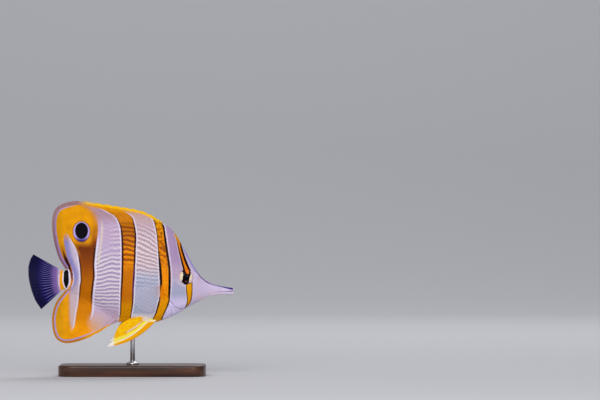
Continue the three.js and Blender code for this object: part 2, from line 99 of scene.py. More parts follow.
FIN_BLEND = 1.8  # how softly the flesh runs into the roots of the median fins

# How the skin is divided
SKIN_GAPS = ((-46, 0.42), (18, 0.36), (22, 0.2), (33, 0.2), (46, 0.17), (60, 0.14), (64, 0.07))
SKIN_SIDES = 200
LIP_RINGS = ((0.9, 1.0), (0.6, 0.99), (0.36, 0.955), (0.18, 0.9), (0.06, 0.82), (0.0, 0.7), (0.0, 0.35))
OPENING_X = 25.0  # where the ring that follows the gill opening starts from
OPENING_RINGS = (-0.2, -0.1, -0.03, 0.03, 0.1, 0.2)  # the rings closest to it
OPENING_BEND = 7.0  # how far from the gill opening the skin's rings still bend to follow it

# Fins. u runs along the root, from the front of a fin to its back, and from the top down on the tail fin.
DORSAL = {
    "root_x": ((0, 20.2), (0.55, -14.5), (0.85, -31.5), (1, -39.4)),
    "edge_x": (
        (0, 19.2), (0.08, 13.2), (0.15, 6.3), (0.3, -6.9), (0.45, -20.8), (0.55, -32.1), (0.61, -40.3),
        (0.66, -46.3), (0.71, -49.1), (0.77, -49.8), (0.85, -48.9), (0.93, -45.8), (1, -41.3),
    ),
    "edge_z": (
        (0, 36.8), (0.08, 40.8), (0.15, 43.7), (0.3, 46.3), (0.45, 48.4), (0.55, 49.9), (0.61, 49),
        (0.66, 46.2), (0.71, 41.6), (0.77, 35.3), (0.85, 25.8), (0.93, 14.2), (1, 6.6),
    ),
    "outline": TOP_LINE, "inward": -1, "spines": 9, "spines_end": 0.56, "rays": 29, "wave": 0.6,
    "bare_margin": 2.6,
}
ANAL = {
    "root_x": ((0, -5), (0.25, -14.5), (0.65, -29), (1, -39.4)),
    "edge_x": (
        (0, -6), (0.1, -13.2), (0.17, -18.9), (0.25, -25.8), (0.36, -34), (0.45, -41), (0.52, -45.7),
        (0.59, -48.5), (0.67, -49.8), (0.77, -49.4), (0.88, -46.9), (1, -41.4),
    ),
    "edge_z": (
        (0, -26.2), (0.1, -28.7), (0.17, -32.3), (0.25, -36), (0.36, -38.9), (0.45, -39.9), (0.52, -38.3),
        (0.59, -34.6), (0.67, -27.7), (0.77, -20.5), (0.88, -13.5), (1, -6.4),
    ),
    "outline": BOTTOM_LINE, "inward": 1, "spines": 3, "spines_end": 0.24, "rays": 20, "wave": -0.5,
    "bare_margin": 2.4,
}
TAIL_FIN = {
    "root": {"x": ((0, -43.3), (1, -43)), "y": None, "z": ((0, 5.9), (1, -6))},
    "edge": {
        "x": ((0, -61.7), (0.12, -63.6), (0.32, -64.9), (0.6, -64.1), (0.85, -60.7), (1, -56.7)),
        "y": None,
        "z": ((0, 16.3), (0.12, 13), (0.32, 7.4), (0.6, -1.6), (0.85, -12.3), (1, -18.6)),
    },
    "bow": None, "cup": None, "rays": 17, "thick": (2, 0.2), "wave": 0.8, "ridge": 0.15,
}
PECTORAL = {
    "root": {"x": ((0, 20.5), (1, 21.4)), "y": ((0, 8.4), (1, 7.6)), "z": ((0, -3.5), (1, -9.4))},
    "edge": {
        "x": ((0, 5.6), (0.2, 2.7), (0.45, 2.5), (0.75, 6), (1, 12.6)),
        "y": ((0, 16), (0.3, 17.6), (1, 12.6)),
        "z": ((0, -4.2), (0.2, -7.2), (0.45, -12.6), (0.75, -18), (1, -20)),
    },
    "bow": ((0, 0.6), (1, 0)), "cup": ((0, 0.8), (1, 0.5)), "rays": 14, "thick": (1.1, 0.12), "wave": 0,
    "ridge": 0.1,
}
PELVIC = {
    "root": {"x": ((0, 15.8), (1, 12.6)), "y": ((0, 1.5), (1, 2.8)), "z": ((0, -25.4), (1, -23.8))},
    "edge": {
        "x": ((0, -15.8), (0.1, -14.3), (0.2, -11.7), (0.5, -9.4), (0.8, -6.9), (1, -4.1)),
        "y": ((0, 4.6), (0.5, 5), (1, 4.4)),
        "z": ((0, -42.1), (0.1, -40.9), (0.2, -38.1), (0.5, -32.1), (0.8, -28.3), (1, -26.1)),
    },
    "bow": ((0, -3.7), (0.2, -2.3), (0.5, -0.4), (1, 1.7)), "cup": ((0, 0.6), (1, 1.4)), "rays": 6,
    "thick": (1.2, 0.24), "wave": 0, "ridge": 0.2,
}
LEFT_PELVIC = {"lift": 4.6, "length": 0.94}  # held a little higher
ROOT_DEPTH = 2.4
MEDIAN_THICK = (3.2, 0.24)  # at the root and at the edge
THICK_POWER = 2.2
THICK_ENDS = (0.45, 0.1)  # the share of the root's thickness at a fin's ends, and where it is full
SPINE_RIDGE = 0.34
RAY_RIDGE = 0.13
SPINE_TIP = 1.0
WAVES = 2.5
WAVE_FROM = (0.3, 0.6)
FIN_ROWS = 44  # points along a ray
SPINE_STEPS = 18  # points from a spine to the next
RAY_STEPS = 12
PELVIC_STEPS = 24
RAY_SPLIT = 0.42  # where along a ray it branches
TAIL_SPLIT = 0.6
SHEET_STEP = 0.004  # how far apart the places are that a sheet's direction is measured from
EDGE_SAMPLES = 500
EDGE_BLOCK = 20000  # points that are measured from a fin's edge at a time

# The stand
STAND_X = 1.0
BASE = {"length": 92, "width": 50, "height": 7, "corner": 9, "edge": 1.2}
BASE_FOOT = ((1.2, 0.0), (0.35, 0.12), (0.0, 0.7))  # the lower edge as (inset, height) pairs
CORNER_STEPS = 16
EDGE_STEPS = 8
ROD_SIDES = 64
ROD_RADIUS = 1.5
ROD_SEAT = 4
COLLAR = {"radius": 4, "height": 1.8}
GAP = 0.3

# The rows of scales, which the dark lines of the flank follow
ROW_ORIGIN = -0.07
ROW_PITCH = 2.72
ROW_PITCH_ALONG = ((-24, 2.05), (-19.5, 2.36), (-15.8, 2.52), (-12, 2.62), (-6, 2.68), (0, 2.72), (20, 2.72))
ROW_SLANT = ((-24, -2.0), (-19.5, -1.33), (-15.8, -0.7), (-12, 0.05), (-9, -0.1), (-6, -0.3), (0, -0.3))
ROW_DROP = (
    (-20, 0), (-8, 0.05), (0, 0.12), (5, 0.22), (10, 0.38), (15, 0.52), (20, 0.6), (25, 0.6), (32, 0.55),
    (45, 0.5),
)
ROW_DROP_FROM = -6.0
ROW_DROP_REACH = 26.0
ROW_DROP_SPREAD = 38.4
ROW_COUNT = ((-60, -26.0), (-8, -2.94), (15, 5.51), (28, 9.77), (64, 23.6))  # (height, row's number) pairs
HEAD_ROW_PITCH = ((22, 1.7), (35, 1.3), (50, 0.8), (60, 0.6))

# Scales. sheet and columns are the x where the sheet and its scales start and end, and step is the gap
# between the columns of scales, by x.
BODY_SCALES = {
    "sheet": (-46, 34), "columns": (-44.6, 33), "step": ((-46, 1.0), (-38, 1.2), (-25, 1.42), (25, 1.5)),
    "across": 0.56, "lift": 0.17,
}
HEAD_SCALES = {
    "sheet": (21, 62), "columns": (22, 57), "step": ((22, 0.95), (35, 0.75), (50, 0.5), (60, 0.42)),
    "across": 0.54, "lift": 0.09,
}
FIN_SCALES = {"step": 0.95, "height": 1.5, "across": 0.55, "lift": 0.09}
FIN_SCALE_LEVEL = 0.4  # where on a fin's rays the height of a scale is measured
SCALE_ROOT = 1.25  # how far a scale's root lies ahead of its middle, in steps between columns
SCALE_ALONG = 6
SCALE_ACROSS = 7
SECTION_ANGLES = 361
TABLE_STEP = 0.25  # in millimetres along the fish
TABLE_ROW_STEP = 0.1  # in rows
BAKE_PATCH = 0.003  # the size of a scale's place on the map

# Markings: each edge as (z, x) pairs from the bottom up, and the dark line inside it as (z, width) pairs
BROW_BAND = {
    "left": ((7.1, 32.8), (11.6, 31.7), (18.6, 30.0), (25.4, 28.6), (28.5, 27.2)),
    "right": ((5.8, 37.9), (11.6, 35.4), (18.6, 32.9), (24.6, 31.0), (29, 28.6)),
    "left_line": ((4, 1.4), (12, 1.1), (18, 0.8), (24, 0.4), (27, 0.0)),
    "right_line": ((4, 1.3), (10, 1.5), (18, 1.2), (22, 0.8), (25, 0.0)),
}
CHEEK_BAND = {
    "left": ((-17.6, 33.8), (-15.1, 35.0), (-11.9, 35.4), (-7.1, 34.9), (-2.9, 34.7)),
    "right": ((-17.7, 34.0), (-15.1, 36.9), (-11.9, 38.3), (-7.1, 38.9), (-2.9, 38.9)),
    "lines": (0.55, 0.6),
}
GILL_BAND = {
    "left": (
        (-25.2, 13.6), (-22.7, 14.5), (-20.9, 15.4), (-16.5, 16.7), (-12.1, 17.8), (-9.9, 18.3), (-5.9, 18.4),
        (1.2, 18.3), (8.2, 17.9), (13.5, 17.6), (23.3, 16.9), (29.9, 16.2), (36.5, 14.6), (39.2, 13.2),
    ),
    "right": (
        (-24, 19.8), (-19.6, 22.0), (-16.1, 23.6), (-12.8, 24.6), (-6.8, 25.1), (-1, 25.3), (5.6, 25.2),
        (10, 24.8), (16.2, 23.9), (21.9, 23.0), (27.7, 22.1), (34.3, 20.9), (35.8, 19.8),
    ),
    "left_line": (
        (-26, 0.5), (-20, 0.9), (-12, 1.0), (-10, 0.3), (-6, 0.4), (-3, 1.5), (9, 1.5), (14, 0.9), (20, 0.5),
        (40, 0.5),
    ),
    "right_line": (
        (-26, 0.5), (-20, 0.8), (-12.2, 0.8), (-11.2, 0.1), (-10, 1.3), (8, 1.4), (34, 1.1), (37, 0.2),
    ),
}
MIDDLE_BAND = {
    "left": (
        (-25.7, -7.5), (-20.3, -6.7), (-14.7, -6.5), (-7.2, -6.3), (-0.8, -5.9), (9.7, -5.6), (17, -5.6),
        (25.4, -5.8), (29.6, -6.1), (32.7, -6.5), (36.1, -7.6), (38.9, -8.9), (41.2, -11.4), (42.6, -14.2),
        (44.3, -17.7), (46, -21), (47.6, -27),
    ),
    "right": (
        (-23.2, 0.1), (-19, 0.9), (-14.7, 1.6), (-4, 2.2), (2.5, 2.7), (8.9, 2.9), (13.7, 3.2), (18.5, 3.3),
        (28.2, 3.5), (32.9, 2.8), (35.2, 2.3), (39.9, 0.7), (41.6, -1.5), (43.5, -5),
    ),
    "left_line": ((-26, 0.4), (-10, 0.9), (0, 1.1), (25, 1.2), (33, 0.9), (38, 0.4), (48, 0.0)),
    "right_line": ((-26, 0.5), (-15, 0.8), (0, 1.1), (10, 1.1), (28, 1.1), (36, 0.7), (42, 0.1)),
}
REAR_BAND = {
    "left": (
        (-31.5, -37), (-29.7, -35.8), (-21.2, -34.5), (-12.8, -33.1), (-4.3, -32.3), (-0.1, -31.6),
        (4, -31.8), (8.3, -32.1), (11.4, -32.6), (16.4, -33.5), (20.6, -35.1), (24.6, -37.4), (29.1, -39.9),
        (30.5, -41),
    ),
    "right": (
        (-36, -21.5), (-33, -24), (-29, -26.2), (-24.7, -25.8), (-19.6, -24.6), (-11, -24.1), (-4.2, -23.4),
        (2.6, -22.5), (9.4, -22.8), (14.2, -22.5), (19.8, -21.9), (25.4, -21.2), (29.7, -20.8), (33.9, -20.7),
        (38.1, -21.4), (41.5, -22.8), (45.1, -26.2), (47.5, -31),
    ),
}
WEDGE_REAR = (
    (-31.5, -37.3), (-29.8, -37.9), (-26.4, -38.4), (-21.3, -38.7), (-14.4, -38.7), (-6.9, -38.7),
    (-4.7, -38.1), (-1.9, -37), (0.9, -36.4), (3.8, -36.4), (7.4, -37.2), (10.8, -38.7), (14.4, -40.3),
    (18.4, -41.1), (22.6, -42), (28.2, -42.3), (30, -40.9),
)
STREAK = {
    "middle": (
        (-5, -38.6), (-3, -37.6), (0.5, -37.0), (5, -37.6), (9, -39.4), (13, -41), (17.6, -42.6),
        (22.5, -43.7),
    ),
    "half": ((-5, 0.3), (-3, 0.6), (0.5, 0.7), (5, 0.8), (9, 1.15), (13, 1.0), (17.6, 0.5), (22.5, 0.2)),
}
GILL_LINE = ((19.2, -5.9), (23.3, -10.7), (25.8, -13.9), (28.4, -17), (34, -18.3))  # (x, z) pairs
EYESPOT = {"x": -31.1, "z": 31.0, "half_length": 4.1, "half_height": 5.15}
EYESPOT_RING = {"x": -31.15, "z": 30.4, "half_length": 5.2, "half_height": 6.3}
# The line that the pelvic fins' painted highlight follows
PELVIC_HIGHLIGHT_LINE = ((-11.4, -40), (-4.4, -37.2), (2.6, -33.3), (6.9, -29.6), (11.1, -25.7))  # (x, z) pairs
TAIL_BAR = {"x": -40.7, "z": 0.4, "half_length": 1.65, "half_height": 5.9}
SNOUT_STRIPE = ((50, 0.2), (55, 0.45), (60, 0.9), (63, 1.2), (65, 1.2))  # (x, width) pairs
DORSAL_MARGIN = ((0, 1.6), (35, 1.8), (44, 2.3), (50, 2.9))  # (z, width) pairs
ANAL_MARGIN = ((-50, 1.4), (-40, 1.5), (-25, 1.7), (-14, 1.0), (-6, 0.3))  # (x, width) pairs
BAND_SOFT = 0.22
BEAD_PITCH = 1.45
REAR_STREAK_PITCH = 1.4
GILL_MARK_PITCH = 3.2
LID_RADIUS = 5.9

# The eye's markings, from its own middle
EYE_BAR = {
    "middle": ((-4, -0.9), (-2.9, -0.75), (-0.3, 0), (2.4, 0.45), (4.1, 0.0), (5, -0.2)),
    "half": ((-5, 2.0), (-3.5, 2.5), (-2.8, 2.5), (-1.5, 2.1), (-0.3, 2.1), (1, 2.2), (2.4, 2.5), (5, 2.4)),
}
EYE_PATCH = {"middle": ((2, 1.1), (4.1, 0.4), (5, 0.2)), "half": ((2, 0.6), (4.1, 1.2))}
EYELID = {"x": -0.55, "radius": 4.2}  # skin that covers the eye's front edge
EYE_RINGS = 40
EYE_SIDES = 96
RIM_HALF = 0.26
RIM_SIDES = 12

CURVE_SAMPLES = 33  # of a curve that is set in a material's node

# The camera and its picture
PICTURE = (600, 400)  # pixels
MM_PER_PIXEL = 0.63
FISH_MIDDLE = (131, 280)  # the pixel of the fish's x = 0, z = 0
CAMERA_DISTANCE = 3.0  # metres
SENSOR = 36.0  # millimetres
CAMERA_REACH = 50.0

# The stage, in metres
STAGE_HALF = 7.0
STAGE_DEPTH = 3.6
STAGE_BEND = 2.0
STAGE_HEIGHT = 4.0
STAGE_STEPS = 16
LIGHTS = {
    "key_light": {"place": (-0.3, -1.7, 0.95), "size": 0.9, "power": 20, "target": (0, 0, 0.06)},
    "fill_light": {"place": (0.7, -1.7, 0.35), "size": 0.6, "power": 8, "target": (0, 0, 0.06)},
    "back_light": {"place": (0.3, 1.1, 1.3), "size": 0.8, "power": 9, "target": (0, 0, 0.06)},
    "backdrop_light": {"place": (0, 2.0, 2.4), "size": 1.5, "power": 13, "target": (0, 3.6, 0.9)},
}
WORLD_STRENGTH = 0.36


# Curves, for numbers and for the wires of a material's nodes

def curve(points):
    """A smooth curve through (position, value) pairs, as a function of position."""
    x, y = np.array(sorted(points), float).T
    slope = np.empty(len(x))
    slope[1:-1] = (y[2:] - y[:-2]) / (x[2:] - x[:-2])
    slope[0] = (y[1] - y[0]) / (x[1] - x[0])
    slope[-1] = (y[-1] - y[-2]) / (x[-1] - x[-2])

    def value(at):
        i = np.clip(np.searchsorted(x, at) - 1, 0, len(x) - 2)
        h = x[i + 1] - x[i]
        t = np.clip((at - x[i]) / h, 0, 1)
        bend = slope[i] * (1 - t) - slope[i + 1] * t
        return y[i] + (y[i + 1] - y[i]) * t * t * (3 - 2 * t) + h * t * (1 - t) * bend

    return value


class Wire:
    """A number on its way through a material's nodes, so that a formula reads as it does for numbers."""

    def __init__(self, graph, socket):
        self.graph = graph
        self.socket = socket

    def __add__(self, other):
        return self.graph.math("ADD", self, other)

    def __sub__(self, other):
        return self.graph.math("SUBTRACT", self, other)

    def __rsub__(self, other):
        return self.graph.math("SUBTRACT", other, self)

    def __mul__(self, other):
        return self.graph.math("MULTIPLY", self, other)

    def __truediv__(self, other):
        return self.graph.math("DIVIDE", self, other)

    def apply(self, operation):
        return self.graph.math(operation, self)

    __radd__ = __add__


class Graph:
    """A node tree that is built by formulas."""

    def __init__(self, tree):
        self.tree = tree

    def node(self, kind, **settings):
        made = self.tree.nodes.new("ShaderNode" + kind)
        for name, value in settings.items():
            setattr(made, name, value)
        return made

    def link(self, value, socket):
        if isinstance(value, Wire):
            self.tree.links.new(value.socket, socket)
        elif isinstance(value, tuple):
            socket.default_value = (*value, 1.0)
        else:
            socket.default_value = value

    def math(self, operation, *values, clamp=False):
        made = self.node("Math", operation=operation, use_clamp=clamp)
        for value, socket in zip(values, made.inputs):
            self.link(value, socket)
        return Wire(self, made.outputs[0])

    def scaled(self, shade, factor):
        """A colour made brighter or darker."""
        made = self.node("VectorMath", operation="SCALE")
        self.link(shade, made.inputs[0])
        self.link(factor, made.inputs["Scale"])
        return Wire(self, made.outputs[0])

    def noise(self, place, scale, detail):
        made = self.node("TexNoise")
        self.link(place, made.inputs["Vector"])
        made.inputs["Scale"].default_value = scale
        made.inputs["Detail"].default_value = detail
        return Wire(self, made.outputs["Fac"])

    def attribute(self, name):
        return Wire(self, self.node("Attribute", attribute_name=name).outputs["Fac"])

    def place(self):
        return Wire(self, self.node("TexCoord").outputs["Object"])

    def place_in_mm(self):
        """The place on the model, and its x and z in the fish's frame in millimetres."""
        place = self.place()
        split = self.node("SeparateXYZ")
        self.link(place, split.inputs[0])
        x, z = Wire(self, split.outputs["X"]), Wire(self, split.outputs["Z"])
        return place, x * (1 / MM), z * (1 / MM) - AXIS_HEIGHT


def smooth(value, low, high):
    """0 at low and 1 at high, with a smooth step between them."""
    if isinstance(value, Wire):
        made = value.graph.node("MapRange", interpolation_type="SMOOTHSTEP")
        value.graph.link(value, made.inputs["Value"])
        made.inputs["From Min"].default_value = low
        made.inputs["From Max"].default_value = high
        return Wire(value.graph, made.outputs["Result"])
    t = np.clip((value - low) / (high - low), 0, 1)
    return t * t * (3 - 2 * t)


def along(points, value):
    """The value of a smooth curve through points, for numbers or wires."""
    if not isinstance(value, Wire):
        return curve(points)(value)
    low, high = min(p[0] for p in points), max(p[0] for p in points)
    shares = np.linspace(0, 1, CURVE_SAMPLES)
    samples = curve(points)(low + shares * (high - low))
    floor, roof = samples.min(), samples.max()
    made = value.graph.node("FloatCurve")
    line = made.mapping.curves[0]
    for share, sample in zip(shares, samples):
        height = (sample - floor) / (roof - floor)
        if share in (0, 1):  # the two end points are there from the start
            point = line.points[int(share) * (len(line.points) - 1)]
            point.location = (share, height)
        else:
            point = line.points.new(share, height)
        point.handle_type = "VECTOR"
    made.mapping.update()
    share = value.graph.math("DIVIDE", value - low, high - low, clamp=True)
    value.graph.link(share, made.inputs["Value"])
    return Wire(value.graph, made.outputs[0]) * (roof - floor) + floor


def most(one, other):
    if isinstance(one, Wire):
        return one.graph.math("MAXIMUM", one, other)
    return np.maximum(one, other)


def least(one, other):
    if isinstance(one, Wire):
        return one.graph.math("MINIMUM", one, other)
    return np.minimum(one, other)


top = curve(TOP_LINE)
bottom = curve(BOTTOM_LINE)
widest = curve(WIDEST_LINE)
half_width = curve(HALF_WIDTH)
keel = curve(KEEL)
mouth = curve(MOUTH_LINE)
gill_opening = curve(GILL_OPENING)
gill_cover_front = curve(GILL_COVER_FRONT)


# Meshes

def add_object(name, data):
    made = bpy.data.objects.new(name, data)
    bpy.context.scene.collection.objects.link(made)
    return made


def new_piece(name, points, faces, material):
    """A mesh object from points in the fish's frame and an array of faces with alike corners."""
    points = np.asarray(points, float).reshape(-1, 3)
    faces = np.asarray(faces, np.int64)
    mesh = bpy.data.meshes.new(name)
    corners = faces.shape[1]
    mesh.vertices.add(len(points))
    placed = (points + (0, 0, AXIS_HEIGHT)) * MM
    mesh.vertices.foreach_set("co", placed.astype(np.float32).ravel())
    mesh.loops.add(faces.size)
    mesh.loops.foreach_set("vertex_index", faces.astype(np.int32).ravel())
    mesh.polygons.add(len(faces))
    mesh.polygons.foreach_set("loop_start", np.arange(0, faces.size, corners, dtype=np.int32))
    mesh.polygons.foreach_set("use_smooth", np.ones(len(faces), bool))
    mesh.update(calc_edges=True)
    mesh.validate()
    mesh.materials.append(material)
    return add_object(name, mesh)


def set_attribute(piece, name, values, times=1):
    """Numbers for a piece's points, given once for all the alike parts that follow each other."""
    layer = piece.data.attributes.new(name, "FLOAT", "POINT")
    layer.data.foreach_set("value", np.tile(np.asarray(values, np.float32).ravel(), times))


def circle_angles(count):
    return np.linspace(0, 2 * np.pi, count, endpoint=False)


def triangles_of(quads):
    return np.concatenate([quads[:, [0, 1, 2]], quads[:, [0, 2, 3]]])


def grid_faces(rows, columns, wrap_columns=False):
    """Quads over a grid of points that is stored row by row."""
    width = columns if wrap_columns else columns - 1
    i, j = np.meshgrid(np.arange(rows - 1), np.arange(width), indexing="ij")
    here, beside = i * columns + j, i * columns + (j + 1) % columns
    return np.stack([here, beside, beside + columns, here + columns], -1).reshape(-1, 4)


def slab_faces(rows, columns):
    """Quads round a closed slab: one grid of points, the same grid again for its other side, and the edge."""
    size = rows * columns
    index = np.arange(size).reshape(rows, columns)
    rim = np.concatenate([index[:, 0], index[-1, 1:], index[-2::-1, -1], index[0, -2:0:-1]])
    following = np.roll(rim, -1)
    face = grid_faces(rows, columns)
    edge = np.stack([following, rim, rim + size, following + size], -1)
    return np.concatenate([face, face[:, ::-1] + size, edge])


def ring_solid(name, rings, material, flip=False):
    """A closed piece over rings of points, with a fan of triangles at each end."""
    count, sides = rings.shape[:2]
    points = np.concatenate([rings.reshape(-1, 3), [rings[0].mean(0), rings[-1].mean(0)]])
    quads = grid_faces(count, sides, wrap_columns=True)
    side, last = np.arange(sides), (count - 1) * sides
    following = (side + 1) % sides
    ends = [
        np.stack([following, side, np.full(sides, count * sides)], -1),
        np.stack([last + side, last + following, np.full(sides, count * sides + 1)], -1),
    ]
    if flip:
        quads = quads[:, ::-1]
        ends = [end[:, [1, 0, 2]] for end in ends]
    return new_piece(name, points, np.concatenate([triangles_of(quads), *ends]), material)


# The flesh's surface

def flesh_half_width(x, z):
    """Half the flesh's width at a height z on the section at x, 0 outside the section."""
    limit = np.where(z > widest(x), top(x), bottom(x))
    share = np.clip((z - widest(x)) / (limit - widest(x)), 0, 1)
    return half_width(x) * (1 - share * share) ** (keel(x) / 2)


def bump(offset, half_width):
    """1 at an offset of 0, and less and less on both sides."""
    return np.exp(-((offset / half_width) ** 2))


def smooth_max(one, other, reach):
    near = np.clip(reach - np.abs(one - other), 0, None) / reach
    return np.maximum(one, other) + near * near * reach / 4


def fin_root_half(x, root):
    """Half the thickness of a median fin at its root."""
    rear, front = root
    near_end = smooth(np.minimum(x - rear, front - x) / (front - rear), -0.02, 0.1)
    return FIN_ROOT_HALF * near_end


def side_surface(x, z):
    """How far the fish's side stands from its mid plane: the flesh, run smoothly into the fins' roots."""
    flesh = flesh_half_width(x, z)
    above = z > widest(x)
    rooted = np.where(above, fin_root_half(x, DORSAL_ROOT), fin_root_half(x, ANAL_ROOT))
    below_edge = np.where(above, top(x) - z, z - bottom(x))
    rooted = rooted * smooth(below_edge, 8, 1)
    even = FIN_BLEND / 4 * smooth(np.maximum(flesh, rooted), 1.2, 0)
    return np.maximum(smooth_max(flesh, rooted, FIN_BLEND) - even, 0)


def face_relief(x, z):
    """The relief of the head's side, in millimetres outwards."""
    swell = GILL_RISE * (1 - smooth(x, *GILL_RISE_X))
    ahead = x - gill_opening(z)
    step = smooth(ahead, -0.04, 0.04)
    groove = GILL_GROOVE["depth"] * bump(ahead + GILL_GROOVE["behind"], GILL_GROOVE["half_width"])
    cover = COVER_GROOVE["depth"] * bump(x - gill_cover_front(z), COVER_GROOVE["half_width"])
    cover = cover * smooth(z, -17.6, -15.5) * smooth(z, 16.5, 13)
    relief = swell * step - groove - cover
    for nostril_x, nostril_z in NOSTRILS:
        far = np.hypot(x - nostril_x, z - nostril_z)
        rim = NOSTRIL_RIM["height"] * bump(far - NOSTRIL_RIM["radius"], NOSTRIL_RIM["half_width"])
        relief = relief - NOSTRIL["depth"] * bump(far, NOSTRIL["half_width"]) + rim
    from_eye = np.hypot(x - EYE["x"], z - EYE["z"])
    return relief - EYE_SOCKET * smooth(from_eye, EYE_SEEN + 1.2, EYE_SEEN)


def height_at(x, angle):
    up = np.sin(angle)
    reach = np.where(up > 0, top(x) - widest(x), widest(x) - bottom(x))
    return widest(x) + reach * up


def flesh_point(x, angle):
    """A point of the finished skin, at an angle round the section at x."""
    z = height_at(x, angle)
    out = np.cos(angle)
    facing = np.abs(out) ** 0.5
    y = side_surface(x, z) + face_relief(x, z) * facing
    slit = 0.92 * smooth(x, 50, 63) + 0.03
    wide = 0.1 + 0.2 * smooth(x, 58, 64.9)
    pinch = slit * bump(z - mouth(x), wide) * smooth(x, 48.8, 51)
    lip_fold = 0.12 * bump(x - 62.6, 0.25)
    y = np.where(np.abs(out) < 1e-9, 0, np.maximum(y * (1 - pinch) - lip_fold * facing, 0))
    return np.stack([x, np.sign(out) * y, z], -1)


def skin_stations():
    gap, lips = curve(SKIN_GAPS), SNOUT_X - LIP_RINGS[0][0]
    stations = [TAIL_END_X]
    while stations[-1] < lips:
        stations.append(stations[-1] + float(gap(stations[-1])))
    stations = [s for s in stations if abs(s - OPENING_X) > 0.25 and s < lips]
    stations += [OPENING_X + shift for shift in OPENING_RINGS]
    return np.array(sorted(stations))


def skin_rings(stations, angles):
    """Rings round the flesh. Near the gill opening they bend to follow it."""
    s, angle = np.meshgrid(stations, angles, indexing="ij")
    x = s.copy()
    for _ in range(3):
        shift = gill_opening(height_at(x, angle)) - OPENING_X
        x = s + shift * bump(s - OPENING_X, OPENING_BEND)
    return flesh_point(x, angle)


def lip_rings(angles):
    """The last rings, round the lips, which draw in to the mouth."""
    rings = []
    up, out = np.sin(angles), np.cos(angles)
    middle = widest(SNOUT_X)
    for back, size in LIP_RINGS[1:]:
        x = SNOUT_X - back
        reach = np.where(up > 0, top(x) - middle, middle - bottom(x))
        z = middle + reach * up * size
        gap = 0.97 * bump(z - mouth(SNOUT_X), 0.34)
        y = half_width(x) * size * np.sign(out) * np.abs(out) * (1 - 0.9 * gap)
        rings.append(np.stack([x - 0.9 * gap, y, z], -1))
    return np.array(rings)


def make_skin(material):
    angles = circle_angles(SKIN_SIDES)
    rings = np.concatenate([skin_rings(skin_stations(), angles), lip_rings(angles)])
    return ring_solid("skin", rings, material, flip=True)


# Fins

def unit(vectors):
    return vectors / np.maximum(np.linalg.norm(vectors, axis=-1, keepdims=True), 1e-9)


def facing(out, side):
    """Directions, turned round where they don't point to their side of the fish."""
    return out * np.where(out[..., 1:2] * side < 0, -1, 1)


def normals_of(place, u, v):
    across = place(np.clip(u + SHEET_STEP, 0, 1), v) - place(np.clip(u - SHEET_STEP, 0, 1), v)
    along_ray = place(u, v + SHEET_STEP) - place(u, v - SHEET_STEP)
    return unit(np.cross(across, along_ray))


def median_place(fin):
    """The middle sheet of the dorsal or anal fin, whose root follows the back or the belly."""
    root_x, edge_x, edge_z = curve(fin["root_x"]), curve(fin["edge_x"]), curve(fin["edge_z"])
    outline = curve(fin["outline"])

    def place(u, v):
        x = root_x(u)
        w = np.clip(v, 0, None)
        inside = np.clip(-v, 0, None) * ROOT_DEPTH * fin["inward"]
        root_z = outline(x)
        sway = np.sin(2 * np.pi * WAVES * u) * smooth(u, *WAVE_FROM)
        return np.stack([
            x + (edge_x(u) - x) * w,
            fin["wave"] * w * w * sway,
            root_z + (edge_z(u) - root_z) * w + inside,
        ], -1)

    return place


def fan_place(fin, side=1, lift=0.0, length=1.0):
    """The middle sheet of a fin that springs from a short root."""
    def maybe(points):
        return curve(points) if points else (lambda u: 0 * u)

    root = [maybe(fin["root"][axis]) for axis in "xyz"]
    edge = [maybe(fin["edge"][axis]) for axis in "xyz"]
    bow, cup = maybe(fin["bow"]), maybe(fin["cup"])
    turn = math.radians(lift)

    def place(u, v):
        start = np.stack([part(u) for part in root], -1)
        ray = np.stack([part(u) for part in edge], -1) - start
        sideways = unit(np.stack([ray[..., 2], 0 * u, -ray[..., 0]], -1))
        arch = 4 * v * (1 - v)
        ray = ray * v[..., None] + sideways * (bow(u) * arch)[..., None]
        x, z = ray[..., 0], ray[..., 2]
        y = ray[..., 1] + cup(u) * arch + fin["wave"] * v * v * np.sin(2 * np.pi * u)
        size = np.where(v > 0, length, 1)
        turned = np.stack([
            (x * math.cos(turn) + z * math.sin(turn)) * size,
            y * size,
            (z * math.cos(turn) - x * math.sin(turn)) * size,
        ], -1)
        point = start + turned
        point[..., 1] *= side
        return point

    return place


def membrane_half(thick, u, v):
    near_end = smooth(np.minimum(u, 1 - u), 0, THICK_ENDS[1])
    root = np.maximum(thick[0] * (THICK_ENDS[0] + (1 - THICK_ENDS[0]) * near_end), thick[1])
    w = np.clip(v, 0, 1)
    return (thick[1] + (root - thick[1]) * (1 - w) ** THICK_POWER) / 2


def ray_share(phase, v, branching, split=RAY_SPLIT):
    """How much of a ray stands at a place between its neighbours. A soft ray branches towards its tip."""
    apart = branching * 0.2 * smooth(v, split, 1.0)
    off = np.abs(np.abs(phase - 0.5) - apart)
    wide = 0.17 - 0.07 * branching * smooth(v, split, split + 0.28)
    return bump(off, wide)


def median_columns(fin):
    """Places along the root, with the place between two rays and whether the ray is a spine."""
    spines, end, rays = fin["spines"], fin["spines_end"], fin["rays"]
    first = np.arange(spines * SPINE_STEPS) / SPINE_STEPS
    second = np.arange(rays * RAY_STEPS + 1) / RAY_STEPS
    u = np.concatenate([first / spines * end, end + second / rays * (1 - end)])
    phase = np.concatenate([first % 1, second % 1])
    spine = np.concatenate([np.ones(len(first)), np.zeros(len(second))])
    return u, phase, spine


def spine_notch(phase):
    """How far the membrane stands back from the line of the spines' tips."""
    behind = (phase - 0.5) % 1
    return np.where(behind < 0.13, smooth(behind, 0.02, 0.13), 1 - smooth(behind, 0.13, 1.0) ** 0.7)


